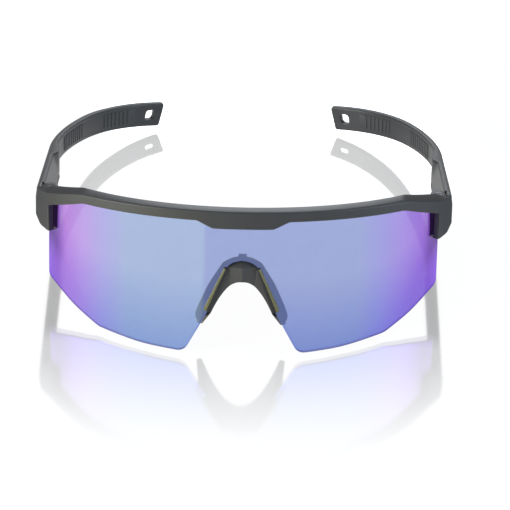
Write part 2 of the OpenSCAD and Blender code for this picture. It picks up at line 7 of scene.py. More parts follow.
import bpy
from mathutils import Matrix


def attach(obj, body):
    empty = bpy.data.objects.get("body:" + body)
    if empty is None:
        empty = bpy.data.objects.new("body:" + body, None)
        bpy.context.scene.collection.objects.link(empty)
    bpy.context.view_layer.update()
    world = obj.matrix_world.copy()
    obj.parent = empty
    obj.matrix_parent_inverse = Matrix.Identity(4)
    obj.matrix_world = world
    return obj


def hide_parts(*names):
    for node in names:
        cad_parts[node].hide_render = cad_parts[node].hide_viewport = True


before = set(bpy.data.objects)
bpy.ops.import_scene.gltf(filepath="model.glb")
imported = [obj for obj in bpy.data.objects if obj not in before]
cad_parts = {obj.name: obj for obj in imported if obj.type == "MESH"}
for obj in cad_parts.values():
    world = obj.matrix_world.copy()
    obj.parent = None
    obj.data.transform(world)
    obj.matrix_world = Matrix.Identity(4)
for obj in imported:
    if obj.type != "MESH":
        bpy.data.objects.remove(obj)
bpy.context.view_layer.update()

import logging
import math
from collections.abc import Sequence
from dataclasses import dataclass, field
from enum import Enum

import bmesh
import bpy
import numpy as np
from mathutils import Matrix, Vector

Array = np.ndarray
Material = bpy.types.Material
Object = bpy.types.Object
Socket = bpy.types.NodeSocket
Pair = tuple[float, float]
Triple = tuple[float, float, float]

MM = 0.001
TINY = 1e-9
FLIP = np.array([-1.0, 1.0, 1.0])
WHITE = (1.0, 1.0, 1.0)
LOG = logging.getLogger("glasses")

# Small geometry helpers


def unit(v: Array) -> Array:
    """Vectors scaled to length one."""
    return v / np.linalg.norm(v, axis=-1, keepdims=True)


def ease(a: float, b: float, t: Array) -> Array:
    """A mix of a and b that starts and ends gently, held at both ends."""
    k = np.clip(t, 0.0, 1.0)
    return a + (b - a) * k * k * (3.0 - 2.0 * k)


def quarter(steps: int) -> tuple[Array, Array]:
    """Sine, and one less the cosine, of the angles of a quarter turn in even steps."""
    a = np.radians(np.linspace(0, 90, steps + 1))
    return np.sin(a), 1 - np.cos(a)


def rounded(corners: Sequence[Triple], steps: int = 10) -> Array:
    """Open outline whose inner corners become arcs tangent to both of their sides.

    Args:
        corners: Points as (x, z, radius); a radius of zero keeps the corner sharp.
        steps: Segments in each arc.

    Returns:
        Points of the outline, one row each.
    """
    p = np.array(corners, float)
    parts = [p[:1, :2]]
    for before, at, after in zip(p[:-2], p[1:-1], p[2:]):
        c, r = at[:2], at[2]
        if r == 0:
            parts.append(c[None])
            continue
        u, v = unit(before[:2] - c), unit(after[:2] - c)
        half = math.acos(float(np.clip(u @ v, -1, 1))) / 2
        mid = c + unit(u + v) * r / math.sin(half)
        s, e = c + u * r / math.tan(half) - mid, c + v * r / math.tan(half) - mid
        first = math.atan2(s[1], s[0])
        sweep = (math.atan2(e[1], e[0]) - first + 3 * math.pi) % (2 * math.pi) - math.pi
        turn = first + sweep * np.linspace(0, 1, steps + 1)
        parts.append(mid + r * np.stack([np.cos(turn), np.sin(turn)], 1))
    parts.append(p[-1:, :2])
    return np.concatenate(parts)


def resample(line: Array, count: int) -> Array:
    """Points spread evenly by length along an open line.

    Args:
        line: Points of the line, one row each.
        count: How many points to give.

    Returns:
        The new points, from the line's first to its last.
    """
    run = np.concatenate([[0.0], np.cumsum(np.linalg.norm(np.diff(line, axis=0), axis=1))])
    at = np.linspace(0, run[-1], count)
    return np.stack([np.interp(at, run, column) for column in line.T], 1)


def follow(line: Array, x: Array) -> Array:
    """Height at x of a line of points (x, z) that both halves share."""
    return np.interp(np.abs(x), line[:, 0], line[:, 1])


def side_normals(line: Array, closed: bool = False) -> Array:
    """Normals on the left of a line's direction turned a quarter on, from central differences."""
    step = np.roll(line, -1, 0) - np.roll(line, 1, 0) if closed else np.gradient(line, axis=0)
    return unit(np.stack([-step[:, 1], step[:, 0]], 1))


@dataclass(frozen=True)
class Stance:
    """Where the upright glasses stand: leant back on the lens's edge and the temple tips."""

    lean_deg: float = 10.8517
    middle_y: float = 75.85792
    floor_z: float = -0.853363

    def turned(self, y: Array, z: Array, way: int) -> tuple[Array, Array]:
        """Depths and heights turned about X by the lean: back for a way of 1, upright for -1."""
        a = way * math.radians(self.lean_deg)
        return y * math.cos(a) + z * math.sin(a), z * math.cos(a) - y * math.sin(a)

    def place(self, points: Array) -> Array:
        """Upright points in millimetres, leant back and set on the floor, in metres."""
        back, up = self.turned(points[:, 1], points[:, 2], 1)
        return np.stack([points[:, 0], back - self.middle_y, up - self.floor_z], 1) * MM

    def upright(self, points: Array) -> Array:
        """The upright points, in millimetres, that stand at the given places in metres."""
        x, back, up = (points / MM).T
        return np.stack([x, *self.turned(back + self.middle_y, up + self.floor_z, -1)], 1)


STANCE = Stance()


class Side(Enum):
    """The wearer's sides, with the sign of X on each."""

    LEFT = 1
    RIGHT = -1

    @property
    def word(self) -> str:
        """The side's name as it stands in the names of nodes."""
        return self.name.lower()


@dataclass
class Shell:
    """Sheets gathered for one piece, in upright millimetres: points, faces and finish mark of each."""

    sheets: list[tuple[Array, Array, int]] = field(default_factory=list)

    def grid(self, surface: Array, wrap_rows: bool = False, wrap_cols: bool = False, mark: int = 0) -> None:
        """Join a rows x columns grid of points into quads.

        Args:
            surface: Points of shape (rows, columns, 3).
            wrap_rows: Whether the last row joins the first.
            wrap_cols: Whether the last column joins the first.
            mark: Number of the finish.
        """
        rows, cols = surface.shape[:2]
        across = np.arange(cols if wrap_cols else cols - 1)
        i, j = np.meshgrid(np.arange(rows if wrap_rows else rows - 1), across, indexing="ij")
        i2, j2 = (i + 1) % rows, (j + 1) % cols
        quads = np.stack([i * cols + j, i * cols + j2, i2 * cols + j2, i2 * cols + j], -1)
        self.sheets.append((surface.reshape(-1, 3), quads.reshape(-1, 4), mark))

    def cap(self, ring: Array, mark: int = 0) -> None:
        """Close a flat ring of points with one face."""
        self.sheets.append((ring, np.arange(len(ring))[None], mark))

    def tube(self, rings: Array, mark: int = 0) -> "Shell":
        """Close a stack of rings with a face at each end.

        Args:
            rings: Points of shape (rings, points, 3).
            mark: Number of the finish.

        Returns:
            This shell.
        """
        self.grid(rings, wrap_cols=True, mark=mark)
        self.cap(rings[0], mark)
        self.cap(rings[-1], mark)
        return self

    def on(self, side: Side) -> "Shell":
        """This shell, drawn for the left, on the given side."""
        flipped = [(points * FLIP, faces[:, ::-1], mark) for points, faces, mark in self.sheets]
        return self if side is Side.LEFT else Shell(flipped)

    def join_both(self, other: "Shell") -> None:
        """Take in another shell, drawn for the left, on both sides."""
        for side in Side:
            self.sheets.extend(other.on(side).sheets)

    def to_object(self, name: str, finishes: Sequence[Material], sharp_deg: float) -> Object:
        """Make the mesh object: doubles merged, faces outward, edges beyond an angle kept sharp.

        Args:
            name: Name of the piece.
            finishes: Materials in the order of the marks.
            sharp_deg: Angle between faces above which an edge stays sharp.

        Returns:
            The new object, at the origin and in the scene.
        """
        points = np.concatenate([points for points, _, _ in self.sheets])
        starts = np.cumsum([0] + [len(points) for points, _, _ in self.sheets])
        faces = [row for start, sheet in zip(starts, self.sheets) for row in (sheet[1] + start).tolist()]
        mesh = bpy.data.meshes.new(name)
        mesh.from_pydata(STANCE.place(points).tolist(), [], faces)
        for finish in finishes:
            mesh.materials.append(finish)
        marks = np.concatenate([np.full(len(rows), mark) for _, rows, mark in self.sheets])
        mesh.polygons.foreach_set("material_index", marks.tolist())
        work = bmesh.new()
        work.from_mesh(mesh)
        bmesh.ops.remove_doubles(work, verts=work.verts, dist=2e-6)
        bmesh.ops.dissolve_degenerate(work, edges=work.edges, dist=1e-7)
        bmesh.ops.recalc_face_normals(work, faces=work.faces)
        work.to_mesh(mesh)
        work.free()
        mesh.polygons.foreach_set("use_smooth", [True] * len(mesh.polygons))
        mesh.set_sharp_from_angle(angle=math.radians(sharp_deg))
        piece = bpy.data.objects.new(name, mesh)
        bpy.context.scene.collection.objects.link(piece)
        return piece


def settle(piece: Object, body: str, node: str) -> None:
    """Fix a piece to its body and the node it stands for, and report it.

    Args:
        piece: The dressed piece.
        body: The body that it rides on.
        node: The node of the solids that it replaces.
    """
    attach(piece, body)
    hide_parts(node)
    LOG.info("%s: %d faces on %s, for %s", piece.name, len(piece.data.polygons), body, node)


# Finishes


@dataclass
class Nodes:
    """A short hand for adding and joining nodes in one tree."""

    tree: bpy.types.NodeTree

    @classmethod
    def of(cls, holder: Material | bpy.types.World) -> "Nodes":
        """The emptied tree of a material or a world.

        Args:
            holder: The material or world.

        Returns:
            Its nodes, of which there are none yet.
        """
        holder.use_nodes = True
        holder.node_tree.nodes.clear()
        return cls(holder.node_tree)

    def put(self, socket: Socket, value: object) -> None:
        """Fill an input in.

        Args:
            socket: The input.
            value: An output to link it to, or a value to set it to.
        """
        if isinstance(value, Socket):
            self.tree.links.new(value, socket)
        else:
            socket.default_value = value

    def new(self, kind: str, *first: object, **named: object) -> bpy.types.Node:
        """Add a node and fill it in.

        Args:
            kind: The node's type.
            first: Outputs or values for its first inputs, in order.
            named: Its attributes, and outputs or values for inputs by name.

        Returns:
            The node.
        """
        node = self.tree.nodes.new(kind)
        inputs = {key: value for key, value in named.items() if not hasattr(node, key)}
        for key, value in named.items():
            if key not in inputs:
                setattr(node, key, value)
        for socket, value in zip(node.inputs, first):
            self.put(socket, value)
        for key, value in inputs.items():
            self.put(node.inputs[key.replace("_", " ")], value)
        return node

    def get(self, kind: str, output: str | int, *first: object, **named: object) -> Socket:
        """Add a node, as new does, and give one of its outputs."""
        return self.new(kind, *first, **named).outputs[output]

    def math(self, operation: str, *values: Socket | float, clamp: bool = False) -> Socket:
        """Add a math node whose operands are outputs or numbers and give its output."""
        return self.get("ShaderNodeMath", 0, *values, operation=operation, use_clamp=clamp)

    def step(self, source: Socket, start: float, end: float, low: float = 0.0, high: float = 1.0) -> Socket:
        """Add a gentle step from one level, at the start, to another, at the end, and give its output."""
        ends = source, start, end, low, high
        return self.get("ShaderNodeMapRange", "Result", *ends, interpolation_type="SMOOTHSTEP")

    def mix(self, share: Socket | float, first: Socket, second: Socket) -> Socket:
        """Add a mix of two shaders and give its output."""
        return self.get("ShaderNodeMixShader", 0, share, first, second)

    def noise(self, scale: Socket | float, detail: float, rough: float = 0.5) -> Socket:
        """Add a noise over the object's own coordinates and give its value."""
        where = self.get("ShaderNodeTexCoord", "Object")
        return self.get("ShaderNodeTexNoise", "Fac", where, Scale=scale, Detail=detail, Roughness=rough)

    def ramp(self, source: Socket, stops: Sequence[tuple[float, Triple]]) -> Socket:
        """Add a colour ramp.

        Args:
            source: What the ramp follows.
            stops: Places and colours of its stops.

        Returns:
            The ramp's colour.
        """
        node = self.new("ShaderNodeValToRGB", source)
        band = node.color_ramp
        while len(band.elements) < len(stops):
            band.elements.new(0.5)
        for element, (at, colour) in zip(band.elements, stops):
            element.position = at
            element.color = (*colour, 1.0)
        return node.outputs["Color"]

    def seen(self) -> Socket:
        """Whether a ray comes from the camera, straight or through the lens."""
        rays = self.new("ShaderNodeLightPath").outputs
        return self.math("MAXIMUM", rays["Is Camera Ray"], rays["Is Transmission Ray"])

    def principled(self, **named: object) -> None:
        """Put a Principled shader with the given inputs on the surface."""
        shader = self.get("ShaderNodeBsdfPrincipled", "BSDF", **named)
        self.new("ShaderNodeOutputMaterial", Surface=shader)


def grain_group() -> bpy.types.NodeTree:
    """Node group for moulded plastic: a fine pebbled grain, with a slow drift of tone and gloss.

    Returns:
        The group, with colour, roughness and normal outputs that vary over the surface.
    """
    name = "moulded_grain"
    if name in bpy.data.node_groups:
        return bpy.data.node_groups[name]
    tree = bpy.data.node_groups.new(name, "ShaderNodeTree")
    kinds = {"Colour": "Color", "Normal": "Vector"}
    for way, labels in (
        ("INPUT", ("Colour", "Drift", "Grain Scale", "Grain Height", "Gloss Base", "Gloss Spread")),
        ("OUTPUT", ("Colour", "Roughness", "Normal")),
    ):
        for label in labels:
            tree.interface.new_socket(label, in_out=way, socket_type="NodeSocket" + kinds.get(label, "Float"))
    n = Nodes(tree)
    given = n.new("NodeGroupInput").outputs
    pebble = n.noise(given["Grain Scale"], 2.0, 0.6)
    cloud = n.noise(90.0, 3.0, 0.55)
    level = n.math("SUBTRACT", 1.0, n.math("MULTIPLY", given["Drift"], 0.5))
    shade = n.math("MULTIPLY_ADD", cloud, given["Drift"], level)
    tone = n.get("ShaderNodeVectorMath", 0, given["Colour"], operation="SCALE", Scale=shade)
    spread = n.math("SUBTRACT", pebble, 0.5)
    rough = n.math("MULTIPLY_ADD", spread, given["Gloss Spread"], given["Gloss Base"])
    bump = n.get("ShaderNodeBump", "Normal", Distance=0.00003, Strength=given["Grain Height"], Height=pebble)
    n.new("NodeGroupOutput", Colour=tone, Roughness=rough, Normal=bump)
    return tree


@dataclass(frozen=True)
class Moulded:
    """A moulded plastic or rubber with a fine grain."""

    name: str
    colour: Triple
    rough: float
    spread: float
    drift: float
    grain_scale: float
    grain_height: float
    specular: float = 0.5
    metallic: float = 0.0

    def material(self) -> Material:
        """The finish as a material, made once.

        Returns:
            The material.
        """
        if self.name in bpy.data.materials:
            return bpy.data.materials[self.name]
        stuff = bpy.data.materials.new(self.name)
        n = Nodes.of(stuff)
        values = (*self.colour, 1.0), self.drift, self.grain_scale, self.grain_height, self.rough, self.spread
        made = n.new("ShaderNodeGroup", *values, node_tree=grain_group()).outputs
        n.principled(Base_Color=made["Colour"], Roughness=made["Roughness"], Normal=made["Normal"],
                     Specular_IOR_Level=self.specular, Metallic=self.metallic)
        return stuff


NYLON = Moulded("frame_nylon_grain", (0.0235, 0.0248, 0.0272), 0.40, 0.14, 0.30, 4200.0, 0.35, 0.43)
RUBBER = Moulded("soft_rubber_matte", (0.026, 0.027, 0.028), 0.52, 0.12, 0.25, 5200.0, 0.30, 0.45)
CLIP = Moulded("clip_dark_matte", (0.019, 0.020, 0.021), 0.58, 0.12, 0.25, 3600.0, 0.25, 0.20)
FLANGE = Moulded("clip_olive_flange", (0.105, 0.066, 0.030), 0.55, 0.12, 0.25, 3600.0, 0.20, 0.20)
GRIP = Moulded("soft_rubber_grip", (0.029, 0.030, 0.032), 0.50, 0.12, 0.25, 5200.0, 0.30, 0.45)
OLIVE = Moulded("clip_olive_satin", (0.088, 0.086, 0.034), 0.42, 0.12, 0.30, 3600.0, 0.20)
STEEL = Moulded("screw_steel_black", (0.13, 0.135, 0.145), 0.36, 0.20, 0.15, 2600.0, 0.15, 0.5, 1.0)
BRASS = Moulded("insert_brass_turned", (0.60, 0.45, 0.20), 0.30, 0.20, 0.20, 2600.0, 0.15, 0.5, 1.0)


@dataclass(frozen=True)
class MirrorCoat:
    """The lens's mirror: blue in the middle, violet to magenta at its ends, partly see-through.

    It follows two values stored on the lens: how far a point lies above the lower edge, as a share
    of the fade's height, and how far inside the outline of the clip's flange, in millimetres. The first
    carries painted shade that darkens the lower part of the coat; the second carries a painted warm
    cast that stands for the flange seen through the lens.
    """

    name: str = "mirror_lens_coat"
    above: str = "above_edge"
    inside: str = "clip_behind"
    stops: tuple[tuple[float, Triple], ...] = (
        (0.0, (0.122, 0.213, 0.608)), (0.58, (0.124, 0.211, 0.612)), (0.71, (0.200, 0.190, 0.715)),
        (0.82, (0.288, 0.165, 0.745)), (0.90, (0.305, 0.130, 0.725)), (0.96, (0.310, 0.116, 0.700)),
        (1.0, (0.380, 0.140, 0.820)),
    )
    reach: float = 0.066
    painted_low_shade: Triple = (0.64, 0.76, 0.94)
    line: Triple = (0.45, 0.36, 0.60)
    line_span: Pair = (0.036, 0.018)
    touch: Triple = (1.33, 1.0, 0.70)
    touch_span: Pair = (-0.06, 0.06)
    alpha_from: float = 0.6
    alpha_middle: float = 0.70
    alpha_end: float = 0.90
    alpha_low: float = 0.14
    alpha_most: float = 0.93
    rough: float = 0.045
    haze: float = 0.03

    def material(self) -> Material:
        """The coat as a material: colour and cover follow the place across and above the edge, with painted
        shade low down and a painted warm cast where the flange shows through.

        Returns:
            The material.
        """
        stuff = bpy.data.materials.new(self.name)
        n = Nodes.of(stuff)
        x = n.get("ShaderNodeSeparateXYZ", "X", n.get("ShaderNodeTexCoord", "Object"))
        off = n.math("DIVIDE", n.math("ABSOLUTE", x), self.reach)
        above, inside = (
            n.get("ShaderNodeAttribute", "Fac", attribute_name=name) for name in (self.above, self.inside)
        )
        low = n.math("SUBTRACT", 1.0, above, clamp=True)
        tint = n.ramp(off, self.stops)
        # Painted shade darkens the colour towards the lower edge, where the cover also grows; a dark violet
        # line follows the edge itself
        for share, colour in (
            (low, self.painted_low_shade),
            (n.step(above, *self.line_span), self.line),
            # Painted warm cast: stands for the clip's flange seen through the lens, not a colour of the coat
            (n.step(inside, *self.touch_span), self.touch),
        ):
            part = n.ramp(share, [(0.0, WHITE), (1.0, colour)])
            tint = n.get("ShaderNodeMix", "Result", data_type="RGBA", blend_type="MULTIPLY",
                         Factor=1.0, A=tint, B=part)
        span = self.alpha_from, 1.0, self.alpha_middle, self.alpha_end
        cover = n.math("ADD", n.get("ShaderNodeMapRange", "Result", off, *span),
                       n.math("MULTIPLY", low, self.alpha_low))
        n.principled(Base_Color=tint, Alpha=n.math("MINIMUM", cover, self.alpha_most), Metallic=1.0,
                     Roughness=n.math("MULTIPLY_ADD", n.noise(700.0, 2.0), self.haze, self.rough))
        return stuff


COAT = MirrorCoat()


@dataclass(frozen=True)
class LensBody:
    """The clear tinted plastic behind the mirror, and at the lens's polished edge."""

    name: str
    colour: Triple
    alpha: float
    rough: float = 0.12
    darker: float = 0.85

    def material(self) -> Material:
        """The tint as a material with a faint drift of tone.

        Returns:
            The material.
        """
        stuff = bpy.data.materials.new(self.name)
        n = Nodes.of(stuff)
        dark = tuple(c * self.darker for c in self.colour)
        tint = n.ramp(n.noise(140.0, 2.0), [(0.3, dark), (0.7, self.colour)])
        n.principled(Base_Color=tint, Roughness=self.rough, Alpha=self.alpha)
        return stuff


EDGE = LensBody("mirror_lens_edge", (0.060, 0.030, 0.260), 0.35)
TINT = LensBody("mirror_lens_tint", (0.030, 0.032, 0.045), 0.12)

# The front: brow frame and lens


@dataclass(frozen=True)
class FrontForm:
    """Sizes that the lens, the brow frame, the nose piece and the temples share."""

    lens_r: float = 88.0
    lens_t: float = 1.8
    lens_half: float = 66.3
    tuck: float = 2.1
    play: float = 0.12
    brow_top: float = 52.8
    brow_h: float = 3.7
    arch_r: float = 770.0
    kink_x: float = 54.0
    end_half: float = 71.0
    end_top: float = 46.4
    end_flat: float = 4.0
    end_taper: float = 0.6
    fall_more: float = 1.25
    grip_over: float = 1.73
    end_behind: float = 2.26
    pivot_in: float = 5.0
    butt_gap: float = 0.3
    knuckle_r: float = 2.6
    knuckle_h: float = 4.1
    hinge_z: float = 41.3
    shank_r: float = 0.8
    peak_z: float = 34.3
    shoulder: Pair = (5.4, 31.6)
    waist: Pair = (11.2, 15.6)

    @property
    def lens_back(self) -> float:
        """Radius of the back of the lens."""
        return self.lens_r - self.lens_t

    @property
    def grip(self) -> float:
        """Angle round the lens's axis, in radians, at which the end piece grips the lens."""
        return math.asin((self.lens_half - self.grip_over) / self.lens_r)

    @property
    def end_back(self) -> float:
        """Depth of the end piece's back face."""
        return float(self.depth(self.lens_r, self.lens_half)) + self.end_behind

    @property
    def pivot(self) -> Array:
        """The hinge's axis, seen from above."""
        return np.array([self.end_half - self.pivot_in, self.end_back + self.butt_gap + self.knuckle_r])

    @property
    def end_fall(self) -> float:
        """Slope of the brow's top beyond the kink."""
        kink = self.brow_top - self.arch_fall(self.kink_x)
        return (kink - self.end_top) / (self.end_half - self.end_flat - self.kink_x)

    def depth(self, r: Array | float, x: Array | float) -> Array:
        """Depth at x of a cylinder of radius r about the lens's axis."""
        return self.lens_r - np.sqrt(np.square(r) - np.square(x))

    def wrap(self, r: Array | float, x: Array, z: Array) -> Array:
        """Points at x and z on a cylinder of radius r about the lens's axis."""
        return np.stack([x, self.depth(r, x), z], -1)

    def arch_fall(self, x: Array | float) -> Array:
        """How far the brow's gentle arch falls at x."""
        return self.arch_r - np.sqrt(self.arch_r**2 - np.square(x))

    def bar_low(self, x: Array | float) -> Array:
        """Height of the bar's lower edge at x, before the kink."""
        return self.brow_top - self.brow_h - self.arch_fall(x)

    def fall_low(self, x: Array | float) -> Array:
        """Height of the bar's lower edge at x, beyond the kink."""
        return self.bar_low(self.kink_x) - self.fall_more * self.end_fall * (x - self.kink_x)

    def roof(self, x: Array | float) -> Array:
        """Height of the nose opening's roof: an arc through the shoulders and the peak.

        Args:
            x: Places across.

        Returns:
            The heights.
        """
        rise = self.peak_z - self.shoulder[1]
        r = (self.shoulder[0] ** 2 + rise**2) / (2 * rise)
        return self.peak_z - r + np.sqrt(r * r - np.square(x))

    def lens_top(self, x: Array) -> Array:
        """Height of the lens's top edge, tucked into the brow.

        Args:
            x: Places across.

        Returns:
            The heights.
        """
        a = np.abs(x)
        bar = self.bar_low(np.minimum(a, self.kink_x))
        return np.where(a < self.kink_x, bar, self.fall_low(a)) + self.tuck


FORM = FrontForm()


@dataclass
class ShieldLens:
    """The one-piece curved lens."""

    form: FrontForm = FORM
    rim: float = 0.22
    rim_steps: int = 5
    rows: int = 30
    columns: int = 290
    fade_h: float = 27.0
    fade_in: float = 19.0
    nose_zone: Pair = (20.0, 40.0)
    far_off: float = -1.5
    below: float = -5.0
    flange_up: float = 1.25
    lower_edge: tuple[Triple, ...] = (
        (66.3, 24.0, 0.0), (66.3, 15.0, 3.0), (57.45, 7.95, 40.0), (48.6, 2.9, 6.0), (33.9, 0.725, 80.0),
        (19.2, 0.0, 4.0), (11.2, 15.6, 40.0), (5.4, 31.6, 0.0),
    )

    @property
    def edge(self) -> Array:
        """Lower edge of one half as points (x, z), from the outer side to the nose opening's roof."""
        return rounded(self.lower_edge, 14)

    def half_edge(self) -> Array:
        """Lower edge of one half, drawn in by the rim's rounding, from the outer side to the peak.

        Returns:
            Points (x, z); the first is where the upright outer side ends.
        """
        roof = np.linspace(self.form.shoulder[0], 0.0, 17)[1:]
        line = np.concatenate([self.edge, np.stack([roof, self.form.roof(roof)], 1)])
        line = resample(line, self.columns)
        normal = side_normals(line)
        normal[-1] = (0.0, -1.0)
        start = int(np.max(np.nonzero(line[:, 0] > self.form.lens_half - 1e-4)))
        inner = (line - self.rim * normal)[start:]
        inner[-1, 0] = 0.0
        return inner

    def build(self) -> Shell:
        """Front and back faces as columns from the lower to the top edge, joined by a rounded rim.

        Returns:
            The lens, with marks 0 for the front, 1 for the rim and 2 for the back.
        """
        f, half = self.form, self.half_edge()
        low = np.concatenate([half, half[-2::-1] * FLIP[:2]])
        x, z_low = low.T
        z = z_low + (f.lens_top(x) - z_low) * np.linspace(0, 1, self.rows)[:, None]
        xs = np.broadcast_to(x, z.shape)
        shell = Shell()
        for mark, r in ((0, f.lens_r), (2, f.lens_back)):
            shell.grid(f.wrap(r, xs, z), mark=mark)
        flat = np.stack([xs, z], -1)
        loop = np.concatenate([flat[0], flat[1:-1, -1], flat[-1, ::-1], flat[-2:0:-1, 0]])
        sine, fall = quarter(self.rim_steps)
        off = self.rim * np.concatenate([sine, sine[::-1]])[:, None, None]
        r = np.concatenate([f.lens_r - self.rim * fall, f.lens_back + self.rim * fall[::-1]])[:, None]
        ring = loop + off * side_normals(loop, closed=True)
        band = f.wrap(r, ring[..., 0], ring[..., 1])
        shell.grid(band[:self.rim_steps + 1], wrap_cols=True, mark=0)
        shell.grid(band[self.rim_steps:], wrap_cols=True, mark=1)
        return shell

    def inside(self, points: Array, outline: Array) -> Array:
        """How far each point lies inside the outline of the clip's flange, which touches the lens.

        The distance to the outline's nearest piece counts as inside when a level line from the
        point crosses the outline, closed below the nose, an odd number of times.

        Args:
            points: Points (x, z) of the lens.
            outline: The flange's outer outline, from one end to the other.

        Returns:
            Distances in millimetres, positive inside the outline.
        """
        start = np.concatenate([outline, [(0.0, self.below)]])
        step = np.roll(start, -1, 0) - start
        away = points[:, None] - start
        along = np.clip((away * step).sum(-1) / np.maximum((step**2).sum(-1), TINY), 0, 1)
        gap = np.linalg.norm(away - along[..., None] * step, axis=-1)[:, :len(outline) - 1].min(1)
        rise = np.where(np.abs(step[:, 1]) < TINY, TINY, step[:, 1])
        level = (away[..., 1] < 0) != (away[..., 1] - step[:, 1] < 0)
        crossed = level & (away[..., 0] < step[:, 0] * away[..., 1] / rise)
        return np.where(crossed.sum(1) % 2 == 1, gap, -gap)

    def grade(self, piece: Object, outline: Array) -> None:
        """Store the two values that the coat follows at each point: for the painted shade low on the lens and
        for the painted warm cast where the flange shows through.

        Through the lens the flange shows a little higher, so its outline counts in both places.

        Args:
            piece: The lens.
            outline: The flange's outer outline.
        """
        flat = np.empty(len(piece.data.vertices) * 3)
        piece.data.vertices.foreach_get("co", flat)
        points = STANCE.upright(flat.reshape(-1, 3))[:, [0, 2]]
        off, z = np.abs(points[:, 0]), points[:, 1]
        outer = self.edge[self.edge[:, 0] > self.fade_in][::-1]
        above = np.clip((z - follow(outer, off)) / self.fade_h, 0, 1)
        near = (off < self.nose_zone[0]) & (z < self.nose_zone[1])
        inside = np.full_like(above, self.far_off)
        outlines = outline, outline + (0.0, self.flange_up)
        inside[near] = np.max([self.inside(points[near], line) for line in outlines], 0)
        for name, values in ((COAT.above, above), (COAT.inside, inside)):
            piece.data.attributes.new(name, "FLOAT", "POINT").data.foreach_set("value", values)

    def dress(self, outline: Array) -> None:
        """Make the lens and put its coat, edge and tint on.

        Args:
            outline: Outer outline of the nose clip's flange.
        """
        finishes = [finish.material() for finish in (COAT, EDGE, TINT)]
        piece = self.build().to_object("lens_shell", finishes, 50.0)
        self.grade(piece, outline)
        settle(piece, "front", "shield_lens")


